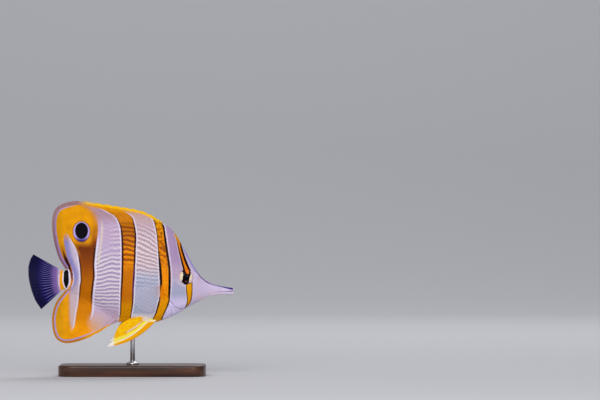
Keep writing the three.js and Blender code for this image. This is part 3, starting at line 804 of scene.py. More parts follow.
def sheet_solid(name, place, u, rows, short, half, material):
    """A closed piece with two faces round a fin's middle sheet, with v and the point of each place on it."""
    uu, row = np.meshgrid(u, rows, indexing="ij")
    length = np.linalg.norm(place(u, np.ones_like(u)) - place(u, np.zeros_like(u)), axis=-1)
    v = np.where(row > 0, row * (1 - (short / length)[:, None]), row)
    middle = place(uu, v)
    normal = normals_of(place, uu, v)
    rounded = half * (1 - 0.6 * smooth(row, 0.985, 1.0))
    points = np.stack([middle + normal * rounded[..., None], middle - normal * rounded[..., None]])
    return new_piece(name, points, slab_faces(*uu.shape), material), v, middle


def inset_of(points, fin):
    """The distance of points in a median fin from its outer edge."""
    share = np.linspace(0, 1, EDGE_SAMPLES)
    edge = np.stack([curve(fin["edge_x"])(share), curve(fin["edge_z"])(share)], -1)
    flat = points.reshape(-1, 3)[:, [0, 2]]
    nearest = np.empty(len(flat))
    for start in range(0, len(flat), EDGE_BLOCK):
        part = flat[start:start + EDGE_BLOCK, None] - edge
        nearest[start:start + EDGE_BLOCK] = np.sqrt((part ** 2).sum(-1)).min(-1)
    return nearest


def make_median_fin(name, fin, material):
    u, phase, spine = median_columns(fin)
    rows = np.concatenate([[-1.0, -0.3], np.linspace(0, 1, FIN_ROWS)])
    short = SPINE_TIP * spine * spine_notch(phase) + 0.25 * (1 - spine) * (1 - ray_share(phase, 1.0, 1.0))
    uu, row = np.meshgrid(u, rows, indexing="ij")
    ridge = np.where(spine[:, None] > 0, SPINE_RIDGE, RAY_RIDGE)
    ray = ray_share(phase[:, None], row, 1 - spine[:, None]) * smooth(row, -0.1, 0.35)
    half = membrane_half(MEDIAN_THICK, uu, row) + ridge * ray * (1 - 0.45 * np.clip(row, 0, 1))
    piece, _, middle = sheet_solid(name, median_place(fin), u, rows, short, half, material)
    set_attribute(piece, "inset", inset_of(middle, fin), times=2)
    return piece


def make_fan_fin(name, fin, material, steps=RAY_STEPS, split=RAY_SPLIT, **pose):
    first = np.arange(fin["rays"] * steps + 1) / steps
    u = first / fin["rays"]
    phase = first % 1
    heights = np.concatenate([[-0.12], np.linspace(0, 1, FIN_ROWS)])
    uu, row = np.meshgrid(u, heights, indexing="ij")
    ray = ray_share(phase[:, None], row, 1.0, split)
    half = membrane_half(fin["thick"], uu, row) + fin["ridge"] * ray * (1 - 0.5 * np.clip(row, 0, 1))
    short = 0.3 * (1 - ray_share(phase, 1.0, 1.0))
    piece, v, _ = sheet_solid(name, fan_place(fin, **pose), u, heights, short, half, material)
    set_attribute(piece, "ray", ray, times=2)
    set_attribute(piece, "out", v, times=2)
    return piece


# Scales

def bilinear(table, i, j):
    i = np.clip(i, 0, table.shape[0] - 1.001)
    j = np.clip(j, 0, table.shape[1] - 1.001)
    i0, j0 = i.astype(int), j.astype(int)
    s, t = i - i0, j - j0
    near = table[i0, j0] * (1 - t) + table[i0, j0 + 1] * t
    far = table[i0 + 1, j0] * (1 - t) + table[i0 + 1, j0 + 1] * t
    return near * (1 - s) + far * s


def flank_rows(x, z, arc):
    """Row numbers from the belly to the back. They follow the flank's lines or, where steep, the arc."""
    number = row_number(x, z)
    pitch = np.maximum(np.diff(z) / np.maximum(np.diff(number), 1e-6), 0.5)
    steep = np.maximum(1, np.diff(arc) / np.maximum(1.3 * np.diff(z), 1e-6))
    steps = np.diff(z) / pitch * steep
    rows = np.concatenate([[0], np.cumsum(steps)])
    middle = len(z) // 2
    return rows - rows[middle] + number[middle]


def head_rows(x, z, arc):
    return (arc - arc[len(arc) // 2]) / curve(HEAD_ROW_PITCH)(np.array(x))


class Side:
    """One side's skin as a sheet whose places are x and a row's number."""

    def __init__(self, side, low, high, rows_of):
        self.side, self.low = side, low
        stations = np.arange(low, high + TABLE_STEP, TABLE_STEP)
        angles = np.linspace(-np.pi / 2, np.pi / 2, SECTION_ANGLES)
        sections, arcs = [], []
        for x in stations:
            line = flesh_point(np.full_like(angles, x), angles)
            arc = np.concatenate([[0], np.cumsum(np.hypot(np.diff(line[:, 1]), np.diff(line[:, 2])))])
            sections.append(rows_of(x, line[:, 2], arc))
            arcs.append(arc - arc[len(arc) // 2])
        self.lowest = np.array([rows[0] for rows in sections])
        self.highest = np.array([rows[-1] for rows in sections])
        self.first = self.lowest.min()
        numbers = np.arange(self.first, self.highest.max() + TABLE_ROW_STEP, TABLE_ROW_STEP)
        self.angles = np.array([np.interp(numbers, rows, angles) for rows in sections])
        self.arcs = np.array([np.interp(numbers, rows, arc) for rows, arc in zip(sections, arcs)])

    def look_up(self, table, x, row):
        return bilinear(table, (x - self.low) / TABLE_STEP, (row - self.first) / TABLE_ROW_STEP)

    def point(self, x, row):
        made = flesh_point(x, self.look_up(self.angles, x, row))
        made[..., 1] *= self.side
        return made

    def place(self, x, row):
        """Points of the skin, and the directions out of it."""
        nudge = 0.15
        ahead = self.point(x + nudge, row) - self.point(x - nudge, row)
        up = self.point(x, row + nudge) - self.point(x, row - nudge)
        return self.point(x, row), facing(unit(np.cross(ahead, up)), self.side)

    def lattice(self, step_at, low, high):
        """The middles of scales in columns, every other one shifted by half a row."""
        places, x, shifted = [], low, False
        while x < high:
            i = int(round((x - self.low) / TABLE_STEP))
            first, last = math.ceil(self.lowest[i] + 0.5), math.floor(self.highest[i] - 0.5)
            rows = np.arange(first, last + 1) + (0.5 if shifted else 0)
            step = float(step_at(x))
            places.append(np.column_stack([np.full(len(rows), x), rows, np.full(len(rows), step)]))
            x += step
            shifted = not shifted
        return np.concatenate(places)

    def map_place(self, x, row):
        """A place on the unrolled skin, for the map that looks are baked to."""
        u = 0.02 + 0.44 * (x - TAIL_END_X) / (SNOUT_X - TAIL_END_X) + (0.5 if self.side > 0 else 0)
        v = 0.5 + self.look_up(self.arcs, x, row) / 110
        return np.stack([u, v], -1)


def scales_piece(name, place, map_place, middles, reach, across, lift, material):
    """One joined piece of many scales. A scale is a shield that rises from its root to its rounded rear edge.

    place gives the surface and its outward directions. reach is how far a scale runs from its middle along
    the lie, signed, and across is half its height, in the sheet's own places. lift is how high it stands.
    """
    along_scale = np.linspace(0, 1, SCALE_ALONG)
    across_scale = np.linspace(-1, 1, SCALE_ACROSS)
    i, j = np.meshgrid(along_scale, across_scale, indexing="ij")
    # How far back the edge lies across the scale, and where its points lie along and across it
    tip = 1.12 - 0.62 * np.abs(j) ** 2.4
    a = -SCALE_ROOT + i * (SCALE_ROOT + tip)
    b = j * (0.86 + 0.2 * np.sin(np.pi * i * 0.8))
    p = middles[:, 0, None, None] + a * reach[:, None, None]
    q = middles[:, 1, None, None] + b * across
    surface, out = place(p, q)
    rise = lift * (1.25 * i ** 1.3 - 0.25 - 0.35 * np.abs(j) ** 2 * i)
    thick = lift * (0.25 + 0.2 * i)
    upper = surface + out * rise[..., None]
    lower = surface + out * (rise - thick)[..., None]
    points = np.concatenate([side.reshape(len(middles), -1, 3) for side in (upper, lower)], 1)
    one = slab_faces(SCALE_ALONG, SCALE_ACROSS)
    normal = np.cross(points[0, 1] - points[0, 0], points[0, SCALE_ACROSS] - points[0, 0])
    if (normal * out[0, 0, 0]).sum() < 0:
        one = one[:, ::-1]
    faces = one[None] + (np.arange(len(middles)) * points.shape[1])[:, None, None]
    piece = new_piece(name, points, triangles_of(faces.reshape(-1, 4)), material)
    centre = map_place(middles[:, 0] - SCALE_ROOT * reach, middles[:, 1])
    patch = np.stack([a / 2.4, b / 2.2], -1) * BAKE_PATCH
    places = centre[:, None, None] + patch[None]
    places = np.concatenate([places.reshape(len(middles), -1, 2)] * 2, 1).reshape(-1, 2)
    layer = piece.data.uv_layers.new(name="OFBake")
    loops = np.empty(len(piece.data.loops), np.int32)
    piece.data.loops.foreach_get("vertex_index", loops)
    layer.data.foreach_set("uv", places[loops].astype(np.float32).ravel())
    set_attribute(piece, "rear", i, times=2 * len(middles))
    return piece


def skin_scales(name, side, area, rows_of, is_kept, material):
    """Scales over the skin of one side, where is_kept(x, z, step) is true."""
    sheet = Side(side, *area["sheet"], rows_of)
    middles = sheet.lattice(curve(area["step"]), *area["columns"])
    x, row, step = middles.T
    middles = middles[is_kept(x, sheet.point(x, row)[:, 2], step)]
    return scales_piece(
        name, sheet.place, sheet.map_place, middles, -middles[:, 2], area["across"], area["lift"], material,
    )


def is_body_scale(x, z, step):
    return x + SCALE_ROOT * step < gill_opening(z) - 0.25


def is_head_scale(x, z, step):
    clear_of_eye = np.hypot(x - EYE["x"], z - EYE["z"]) > EYE_SEEN + 1.1
    clear_of_nose = np.all([np.hypot(x - nx, z - nz) > 1.2 for nx, nz in NOSTRILS], axis=0)
    clear_of_mouth = np.abs(z - mouth(x)) > np.where(x > 50, 0.7, 0)
    return (x > gill_opening(z) + 1.0) & clear_of_eye & clear_of_nose & clear_of_mouth


def fin_scales(name, fin, side, material):
    """Scales over a median fin, which point along its rays and leave its margin bare."""
    sheet = median_place(fin)
    fine = np.linspace(0, 1, 800)
    level = sheet(fine, np.full_like(fine, FIN_SCALE_LEVEL))
    walked = np.concatenate([[0], np.cumsum(np.linalg.norm(np.diff(level, axis=0), axis=1))])
    count = int(walked[-1] / FIN_SCALES["height"])
    length_at = np.linalg.norm(sheet(fine, np.ones_like(fine)) - sheet(fine, np.zeros_like(fine)), axis=-1)

    def share(row):
        return np.interp(row / count * walked[-1], walked, fine)

    def place(distance, row):
        u = share(row)
        v = distance / np.interp(u, fine, length_at)
        normal = facing(normals_of(sheet, u, v), side)
        half = membrane_half(MEDIAN_THICK, u, v)
        return sheet(u, v) + normal * half[..., None], normal

    def map_place(distance, row):
        offset = 0.5 if side > 0 else 0
        return np.stack([0.03 + 0.44 * row / count + offset, 0.03 + 0.9 * distance / 60], -1)

    middles, shifted = [], False
    for distance in np.arange(0.6, length_at.max(), FIN_SCALES["step"]):
        rows = np.arange(0.8, count - 0.8, 1.0) + (0.5 if shifted else 0)
        u = share(rows)
        v = distance / np.interp(u, fine, length_at)
        inset = inset_of(sheet(u, np.clip(v, 0, 1)), fin)
        rows = rows[(v < 0.93) & (inset > fin["bare_margin"])]
        middles.append(np.column_stack([np.full(len(rows), distance), rows]))
        shifted = not shifted
    middles = np.concatenate(middles)
    reach = np.full(len(middles), FIN_SCALES["step"])
    across, lift = FIN_SCALES["across"], FIN_SCALES["lift"]
    piece = scales_piece(name, place, map_place, middles, reach, across, lift, material)
    corners = np.empty(len(piece.data.vertices) * 3, np.float32)
    piece.data.vertices.foreach_get("co", corners)
    set_attribute(piece, "inset", inset_of(corners.reshape(-1, 3) / MM - (0, 0, AXIS_HEIGHT), fin))
    return piece


# Colours, and how one is laid over another

def colour(red, green, blue):
    """A colour in the picture's own values from 0 to 1, as the linear values that a shader takes."""
    return tuple(v / 12.92 if v <= 0.04045 else ((v + 0.055) / 1.055) ** 2.4 for v in (red, green, blue))


LILAC = colour(0.73, 0.65, 0.77)
CREAM = colour(0.88, 0.84, 0.84)
ROW_PURPLE = colour(0.56, 0.49, 0.63)
ROW_BROWN = colour(0.54, 0.43, 0.45)
PINK_LILAC = colour(0.77, 0.66, 0.71)
BLUE_WHITE = colour(0.66, 0.68, 0.77)
CHEEK_TOP = colour(0.67, 0.56, 0.71)
CHEEK_LOW = colour(0.66, 0.67, 0.77)
SNOUT = colour(0.80, 0.73, 0.86)
FOREHEAD = colour(0.64, 0.60, 0.88)
SNOUT_TOP = colour(0.24, 0.17, 0.48)
COPPER = colour(0.95, 0.56, 0.0)
GOLD = colour(0.91, 0.61, 0.0)
SPINE_GOLD = colour(0.93, 0.71, 0.03)
OCHRE = colour(0.78, 0.49, 0.01)
BROWN = colour(0.45, 0.19, 0.02)
RUST = colour(0.60, 0.29, 0.02)
BLACK = colour(0.02, 0.01, 0.04)
MAROON = colour(0.20, 0.04, 0.03)
DARK_PURPLE = colour(0.24, 0.08, 0.30)
WHITE_LINE = colour(0.89, 0.85, 0.92)
RING = colour(0.70, 0.63, 0.87)
RING_LOW = colour(0.20, 0.15, 0.46)
MAUVE = colour(0.67, 0.54, 0.60)
LID = colour(0.80, 0.70, 0.78)


def mix(share, one, other):
    """A colour: one where share is 0, other where it is 1."""
    made = share.graph.node("Mix", data_type="RGBA")
    for value, socket in ((share, 0), (one, 6), (other, 7)):
        share.graph.link(value, made.inputs[socket])
    return Wire(share.graph, made.outputs[2])


def layered(base, *layers):
    """A colour with others laid over it in turn. A layer is the pair of its share and its colour."""
    for share, over in layers:
        base = mix(share, base, over)
    return base


def window(value, start, full, still_full, end):
    """0 up to start, 1 from full to still_full, and 0 from end on."""
    return smooth(value, start, full) * smooth(value, end, still_full)


def between(value, low, high, soft):
    return window(value, low - soft, low + soft, high - soft, high + soft)


def distance(x, z):
    return (x * x + z * z).apply("SQRT")


def within(mark, x, z):
    """A place measured from a mark's middle, in the mark's half lengths and half heights."""
    return (x - mark["x"]) / mark["half_length"], (z - mark["z"]) / mark["half_height"]


# The markings. Each function yields layers, and its numbers are millimetres of x, z or distance from an edge.

def row_number(x, z):
    """Counts the rows of scales from the mid line up. The flank's dark lines are at the whole numbers."""
    ahead = most(least(x - ROW_DROP_FROM, ROW_DROP_REACH), 0.0)
    drop = along(ROW_DROP, z) * ahead * ahead / ROW_DROP_SPREAD
    height = z - ROW_ORIGIN + drop - along(ROW_SLANT, x)
    return along(ROW_COUNT, height * ROW_PITCH / along(ROW_PITCH_ALONG, x))


def band_sides(band, x, z):
    """How far x is inside a band's left edge and its right edge."""
    return x - along(band["left"], z), along(band["right"], z) - x


def band_layers(sides, orange, dark, line_widths, there, white):
    """A band with a dark line inside each edge and a white line outside it."""
    edges = [smooth(side, -BAND_SOFT, BAND_SOFT) for side in sides]
    for side, other_edge in zip(sides, reversed(edges)):
        yield between(side, -white, 0, 0.25) * other_edge * there * 0.8, WHITE_LINE
    inside = edges[0] * edges[1] * there
    yield inside, orange
    for side, width in zip(sides, line_widths):
        yield inside * smooth(width - side, -0.25, 0.25), dark


def line_widths(band, z):
    return along(band["left_line"], z), along(band["right_line"], z)


def face_layers(x, z, mottle):
    """The snout and the forehead."""
    below_top = along(TOP_LINE, x) - z
    forehead = smooth(x, 58, 47) * smooth(x, 28, 33)
    stripe = below_top - along(SNOUT_STRIPE, x)
    yield smooth(z - along(BOTTOM_LINE, x), 1.6, 0.6) * smooth(x, 40, 46) * 0.6, WHITE_LINE
    yield forehead * smooth(below_top, 2.6, 0.8) * smooth(x, 46, 40), FOREHEAD
    yield forehead * smooth(below_top, 1.4, 0.9) * smooth(x, 39, 43), colour(0.54, 0.44, 0.68)
    yield between(below_top, 1.3, 1.9, 0.4) * window(x, 39, 42, 50, 56) * 0.7, WHITE_LINE
    yield smooth(stripe, 0.2, -0.2) * smooth(x, 50, 57), SNOUT_TOP
    yield smooth(below_top, 0.6, 0.2) * between(x, 42, 50, 1) * 0.5, colour(0.45, 0.28, 0.26)
    yield smooth(below_top, 0.8, 0.3) * between(x, 22.5, 32, 1) * 0.6, OCHRE
    yield smooth(x, 64.1, 64.7), CREAM
    pink = smooth(mottle, 0.5, 0.7) * window(x, 40, 43, 52, 60) * smooth(below_top, 0.8, 2) * 0.35
    yield pink, colour(0.88, 0.68, 0.64)


def cheek_layers(x, z, mottle):
    """The cheek, between the gill band and the snout."""
    on_nape = smooth(along(BROW_BAND["left"], z) - x, -0.5, 0.5) * smooth(z, -2, 2)
    on_cheek = smooth(36.8 - x, -0.5, 0.5) * smooth(z, 2, -2)
    yield most(on_nape, on_cheek), layered(
        CHEEK_LOW,
        (smooth(z, -7, 7), colour(0.74, 0.64, 0.74)),
        (smooth(z, 5, 14), CHEEK_TOP),
        # Paler towards the throat: its own pale colour, made paler still as painted light against the shade
        # under the head.
        (smooth(z, -8, -15), colour(0.87, 0.82, 0.96)),
        ((mottle - 0.35) * 0.6, LILAC),
    )


def front_layers(x, z, dark_row, pale_row, beads, mottle, share):
    """The pale field between the gill band and the middle band, with its rows of beads."""
    upper = layered(
        PINK_LILAC,
        (smooth(z, 32, 42), colour(0.75, 0.62, 0.60)),
        (pale_row * (beads * 0.3 + 0.7) * smooth(z, 38, 24) * 0.9, CREAM),
        (dark_row * (beads * 0.75 + 0.25) * smooth(z, 38, 31) * 0.72, ROW_BROWN),
    )
    yield share, layered(
        BLUE_WHITE,
        (dark_row * 0.5 * smooth(z, -9, -2), ROW_PURPLE),
        (pale_row * 0.5 * smooth(z, -5, 3), colour(0.80, 0.82, 0.86)),
        ((mottle - 0.4) * 1.2 * smooth(x, 5, 11), PINK_LILAC),
        (smooth(z, -20, -23), CREAM),
        (smooth(z, 0, 10), upper),
    )


def flank_layers(x, z, dark_row, pale_row, share):
    """The lined field between the middle band and the rear band."""
    strong = window(z, -22, -13, 11, 24)
    faint = window(z, 12, 20, 30, 38) * smooth(x, -16, -9) * 0.45
    yield share, layered(
        colour(0.74, 0.64, 0.75),
        (smooth(z, 28, 18), LILAC),
        (pale_row * most(strong * 0.8, faint), CREAM),
        (dark_row * most(strong * 0.75, faint), ROW_PURPLE),
        (smooth(z, 33, 42), MAUVE),
        (smooth(z, -16, -24) * 0.8, colour(0.77, 0.66, 0.73)),
        (smooth(z, -18, -26) * smooth(x, -12, -22) * 0.7, colour(0.82, 0.67, 0.60)),
        (smooth(z, -24, -30) * smooth(x, -16, -24) * 0.5, colour(0.86, 0.61, 0.22)),
    )


def rear_band_layers(rear, x, z, mottle):
    """The rear band, orange below, brown at mid height and golden round the eyespot."""
    from_left, from_right = rear
    streaks = (x * (2 * math.pi / REAR_STREAK_PITCH) + mottle * 9).apply("SINE")
    soft = most(smooth(z, 33, 42), smooth(z, -19, -26))
    yield mix(soft, smooth(from_right, -0.3, 0.3), smooth(from_right, -3.5, 3.0)), layered(
        colour(0.87, 0.53, 0.0),
        (smooth(z, -24, -6), colour(0.75, 0.42, 0.0)),
        (smooth(z, -6, 10), RUST),
        (smooth(z, 5, 20), BROWN),
        (smooth(z, 19, 27), RUST),
        (streaks * smooth(z, -8, 4) * 0.18 + 0.05, BROWN),
        (smooth(z, 20, 26) * smooth(from_right, 1.6, 5.5), GOLD),
        (smooth(z, 26, 38), GOLD),
        (smooth(from_left, 2.5, 0) * between(z, 15, 27, 3) * 0.7, OCHRE),
        (smooth(from_right, 5, 0) * smooth(z, 23, 29) * 0.6, OCHRE),
        (smooth(z, -24, -31), colour(0.96, 0.61, 0.0)),
        ((mottle - 0.4) * 0.6, BROWN),
    )
    yield between(from_right, 0, 1.25, 0.3) * window(z, -19, -9, 17, 27) * 0.95, MAROON
    yield between(from_left, 0, 0.9, 0.3) * window(z, -16, -8, 12, 19) * 0.85, MAROON
    yield between(from_right, -1.3, 0, 0.25) * window(z, -27, -20, 22, 32) * 0.75, WHITE_LINE
    yield between(from_right, -3.4, -1.9, 0.5) * between(z, 10, 36, 3) * 0.5, colour(0.88, 0.83, 0.70)


def middle_band_layers(middle, z, wave, grain, mottle):
    """The middle band, with the rows as brown stripes over its upper half."""
    lined = window(z, 8, 13, 33, 38)
    stripes = smooth(wave + (grain - 0.5) * 0.9, -0.75, 0.45)
    orange = layered(
        COPPER,
        (smooth(z, 30, 37), colour(0.80, 0.49, 0.01)),
        (smooth(z, 41, 46), GOLD),
        (smooth(z, 16, 30) * lined * 0.45, BROWN),
        (stripes * lined * 0.78, BROWN),
        (smooth(z, 12, 4), colour(0.78, 0.44, 0.02)),
        (smooth(z, -10, -18), colour(0.85, 0.56, 0.0)),
        ((mottle - 0.35) * 0.7, RUST),
    )
    dark = layered(MAROON, (window(z, -14, -6, 4, 12) * smooth(middle[1], 2.6, 1.2), DARK_PURPLE))
    yield from band_layers(middle, orange, dark, line_widths(MIDDLE_BAND, z), smooth(z, 48.5, 47), 0.9)


def gill_band_layers(gill, x, z, blotch, mottle):
    """The band behind the gill opening, with brown blotches over its upper half."""
    diagonal = ((z + x * 0.9) * (2 * math.pi / GILL_MARK_PITCH) + mottle * 6).apply("COSINE")
    blotches = smooth(blotch + diagonal * 0.07, 0.42, 0.62)
    orange = layered(
        COPPER,
        (smooth(z, 24, 38), GOLD),
        (smooth(z, -8, -18), colour(0.94, 0.63, 0.0)),
        (blotches * window(z, 6, 13, 35, 41) * 0.72, BROWN),
        (smooth(gill[0], 3.0, 0.5) * between(z, 14, 33, 3) * 0.3, BROWN),
        ((mottle - 0.35) * 0.5, RUST),
    )
    yield from band_layers(gill, orange, BLACK, line_widths(GILL_BAND, z), smooth(z, 41.5, 39.5), 0.75)


def eye_band_layers(x, z):
    """The narrow band from the nape down to the eye, and from the eye down to the throat."""
    orange = layered(colour(0.94, 0.50, 0.03), (smooth(z, 20, 27), GOLD))
    brow, brow_there = band_sides(BROW_BAND, x, z), window(z, 3.5, 5.0, 28.6, 29.6)
    yield from band_layers(brow, orange, BLACK, line_widths(BROW_BAND, z), brow_there, 0.4)
    cheek, cheek_there = band_sides(CHEEK_BAND, x, z), window(z, -18.2, -17.2, -1, 0.5)
    yield from band_layers(cheek, GOLD, MAROON, CHEEK_BAND["lines"], cheek_there, 0.4)


def wedge_layers(rear, wavy, x, z, grain, mottle):
    """The white wedge, the golden fin behind it and the dark streak between them."""
    wedge_side = wavy - along(WEDGE_REAR, z)
    behind = smooth(rear[0], 0.3, -0.3)
    there = window(z, -33, -28, 23, 30.5)
    hard_side, faint_side = smooth(wedge_side, 0.2, -0.2) * behind, smooth(wedge_side, 4, -3)
    yield mix(smooth(z, -26, -31), hard_side, faint_side), layered(
        GOLD,
        (smooth(x, -41, -46) * 0.55, colour(0.72, 0.53, 0.02)),
        (between(z, 9, 21, 4) * 0.45, BROWN),
        ((mottle - 0.4) * 0.6, BROWN),
    )
    yield smooth(wedge_side, -1.6, -0.4) * between(z, -28, -8, 3) * behind * 0.5, OCHRE
    soft_side = mix(smooth(z, 3, -10), smooth(wedge_side, -0.3, 0.3), smooth(wedge_side, -1.1, 1.3))
    yield behind * there * soft_side, layered(
        colour(0.54, 0.51, 0.72),
        (smooth(wedge_side, 1.5, 5.0), colour(0.76, 0.70, 0.78)),
        (smooth(z, 2, -12), colour(0.76, 0.67, 0.69)),
        (smooth(z, -14, -26), colour(0.78, 0.68, 0.65)),
    )
    yield between(rear[0], -0.9, 0, 0.25) * there * 0.6, WHITE_LINE
    streak = (wavy - along(STREAK["middle"], z)).apply("ABSOLUTE") - along(STREAK["half"], z)
    yield smooth(streak, 0.9, 0.4) * window(z, -4.6, -3.4, 3, 7) * 0.8, WHITE_LINE
    seen = smooth(streak + (grain - 0.5) * 0.8, 0.45, -0.35) * window(z, -5.2, -4, 14, 24)
    yield seen, layered(
        MAROON,
        (smooth(z, 8, 6), colour(0.42, 0.20, 0.08)),
        (smooth(z, 2, -1), colour(0.80, 0.47, 0.02)),
        (smooth(z, 13, 18), BROWN),
    )


def tail_start(x, z):
    """Gold and then lilac, on the end of the flesh and on the root of the tail fin."""
    across = (z - TAIL_BAR["z"]) / TAIL_BAR["half_height"]
    return layered(GOLD, (smooth(x + across * across * -0.5, -44.6, -45.4), colour(0.80, 0.72, 0.82)))


def tail_root_layers(wavy, x, z):
    """The black spot at the root of the tail and the golden bar behind it."""
    bar_x, bar_z = within(TAIL_BAR, wavy, z)
    height = bar_z.apply("ABSOLUTE")
    square = bar_z * bar_z
    bar = bar_x.apply("ABSOLUTE") + square + (square * square * 0.45 - square) * smooth(bar_z, 0.2, 0.7)
    yield smooth(x, -41.8, -42.3) * smooth(height, 1.35, 1.1), tail_start(x, z)
    yield smooth(bar, 1.6, 1.4) * smooth(height, 1.2, 1.05), WHITE_LINE
    yield smooth(bar, 1.15, 0.95) * smooth(bar_z, 1.14, 1.04), BLACK


def eyespot_layers(x, z, grain):
    ring_x, ring_z = within(EYESPOT_RING, x, z)
    ring = distance(ring_x, ring_z) + (grain - 0.5) * 0.05
    spot = distance(*within(EYESPOT, x, z)) + (grain - 0.5) * 0.05
    yield smooth(ring, 1.16, 1.02) * 0.7, BROWN
    yield smooth(ring, 1.03, 0.96), layered(RING, (smooth(ring_z, -0.35, -0.95), RING_LOW))
    yield smooth(spot, 1.04, 0.96), BLACK


def fold_layers(x, z):
    """The lower lid, the gill cover's lower edge, and the golden belly that the pelvic fins spring from."""
    lid_x, lid_z = x - EYE["x"], z - EYE["z"]
    lid = distance(lid_x, lid_z) - LID_RADIUS
    yield between(lid, -0.5, 0.1, 0.25) * smooth(lid_z, -1.6, -3.2) * smooth(lid_x, 0.4, -0.8) * 0.75, CREAM
    line = (z - along(GILL_LINE, x)).apply("ABSOLUTE")
    yield smooth(line, 0.6, 0.1) * between(x, 18.6, 33, 0.6) * 0.5, MAROON
    yield smooth(z, -23.2, -24.6) * between(x, -7.5, 6.5, 1.5), GOLD


def fish_colour(graph):
    """All the markings, from the ground colour up."""
    place, x, z = graph.place_in_mm()
    grain = graph.noise(place, 700, 3)
    mottle = graph.noise(place, 190, 2)
    rows = row_number(x, z) + (graph.noise(place, 150, 1) - 0.5) * 0.9
    wave = (rows * (2 * math.pi)).apply("COSINE")
    beads = smooth((x * (2 * math.pi / BEAD_PITCH) + rows * math.pi).apply("COSINE"), -0.6, 0.6)
    wavy = x + (rows * (4 * math.pi)).apply("SINE") * 0.1 + (grain - 0.5) * 0.4
    dark_row = smooth(wave + (grain - 0.5) * 0.9, 0.2, 1.05)
    pale_row = smooth(wave * -1.0 + (grain - 0.5) * 0.6, -0.2, 0.9)
    gill, middle, rear = (band_sides(band, wavy, z) for band in (GILL_BAND, MIDDLE_BAND, REAR_BAND))
    return layered(
        mix(mottle, SNOUT, colour(0.80, 0.74, 0.83)),
        *face_layers(x, z, mottle),
        *cheek_layers(x, z, mottle),
        *front_layers(x, z, dark_row, pale_row, beads, mottle, smooth(gill[0], 1.5, 0.5)),
        *flank_layers(x, z, dark_row, pale_row, smooth(middle[0], 1.5, 0.5)),
        *rear_band_layers(rear, x, z, mottle),
        *middle_band_layers(middle, z, wave, grain, mottle),
        *gill_band_layers(gill, x, z, graph.noise(place, 480, 1), mottle),
        *eye_band_layers(wavy, z),
        *wedge_layers(rear, wavy, x, z, grain, mottle),
        *tail_root_layers(wavy, x, z),
        *eyespot_layers(x, z, grain),
        *fold_layers(x, z),
    )


def markings():
    """A group of nodes that colours the fish by its place."""
    tree = bpy.data.node_groups.new("markings", "ShaderNodeTree")
    tree.interface.new_socket("Colour", in_out="OUTPUT", socket_type="NodeSocketColor")
    graph = Graph(tree)
    out = tree.nodes.new("NodeGroupOutput")
    graph.link(fish_colour(graph), out.inputs["Colour"])
    return tree


# Materials. A looks function gives the wires of the shader's sockets by their names.

def new_material(name, looks, roughness, coat=0.0, specular=0.06, metallic=0.0):
    material = bpy.data.materials.new(name)
    material.use_nodes = True
    shader = material.node_tree.nodes["Principled BSDF"]
    shader.inputs["Roughness"].default_value = roughness
    shader.inputs["Coat Weight"].default_value = coat
    shader.inputs["Coat Roughness"].default_value = 0.12
    shader.inputs["Specular IOR Level"].default_value = specular
    shader.inputs["Metallic"].default_value = metallic
    graph = Graph(material.node_tree)
    for socket, value in looks(graph).items():
        graph.link(value, shader.inputs[socket])
    return material


def marked(graph, group):
    made = graph.node("Group")
    made.node_tree = group
    return Wire(graph, made.outputs["Colour"])


def painted_scale_light(graph, shade):
    """Painted light on a scale: a painted highlight along its rear edge and painted shade over its root."""
    rear = graph.attribute("rear")
    return graph.scaled(shade, 1.0 + smooth(rear, 0.75, 1.0) * 0.12 - smooth(rear, 0.6, 0.4) * 0.2)


def flesh_material(name, group, scaled, roughness):
    def looks(graph):
        shade = marked(graph, group)
        # Scales get a painted highlight on their rear edges and painted shade over their roots.
        return {"Base Color": painted_scale_light(graph, shade) if scaled else shade}

    return new_material(name, looks, roughness)


def dorsal_margin(inset, x, z):
    """The spines' golden edge, and the soft fin's clear margin with the blue line inside it."""
    spiny = smooth(x, -35.5, -27)
    line = inset - along(DORSAL_MARGIN, z)
    yield smooth(inset, 4.2, 2.2) * spiny * smooth(x, 10, -8), colour(0.84, 0.55, 0.02)
    golden = layered(SPINE_GOLD, (smooth(x, -20, -31), colour(0.84, 0.68, 0.30)))
    yield smooth(inset, 2.2, 1.4) * spiny, golden
    blue = layered(colour(0.54, 0.48, 0.74), (smooth(z, 38, 46), colour(0.66, 0.60, 0.76)))
    yield between(line, 0, 0.85, 0.25) * smooth(x, -33, -42), blue
    mauve = layered(colour(0.49, 0.34, 0.40), (smooth(z, 20, 44), colour(0.58, 0.44, 0.45)))
    yield smooth(line, 0.25, -0.25) * smooth(x, -27, -35), mauve


def anal_margin(inset, x, z):
    """The orange edge with a lilac line inside it."""
    line = inset - along(ANAL_MARGIN, x)
    lilac = layered(colour(0.62, 0.56, 0.79), (smooth(x, -34, -24), colour(0.86, 0.68, 0.66)))
    yield between(line, 0, 0.9, 0.25) * smooth(x, -18, -24), lilac
    orange = layered(colour(0.70, 0.44, 0.07), (smooth(x, -34, -24), colour(0.90, 0.60, 0.02)))
    yield smooth(line, 0.2, -0.2) * smooth(x, -10, -16), orange


def copper_fin_material(name, group, margin, scaled):
    def looks(graph):
        _, x, z = graph.place_in_mm()
        shade = layered(marked(graph, group), *margin(graph.attribute("inset"), x, z))
        # Fin scales get a painted highlight on their rear edges and painted shade over their roots.
        return {"Base Color": painted_scale_light(graph, shade) if scaled else shade}

    return new_material(name, looks, 0.42)


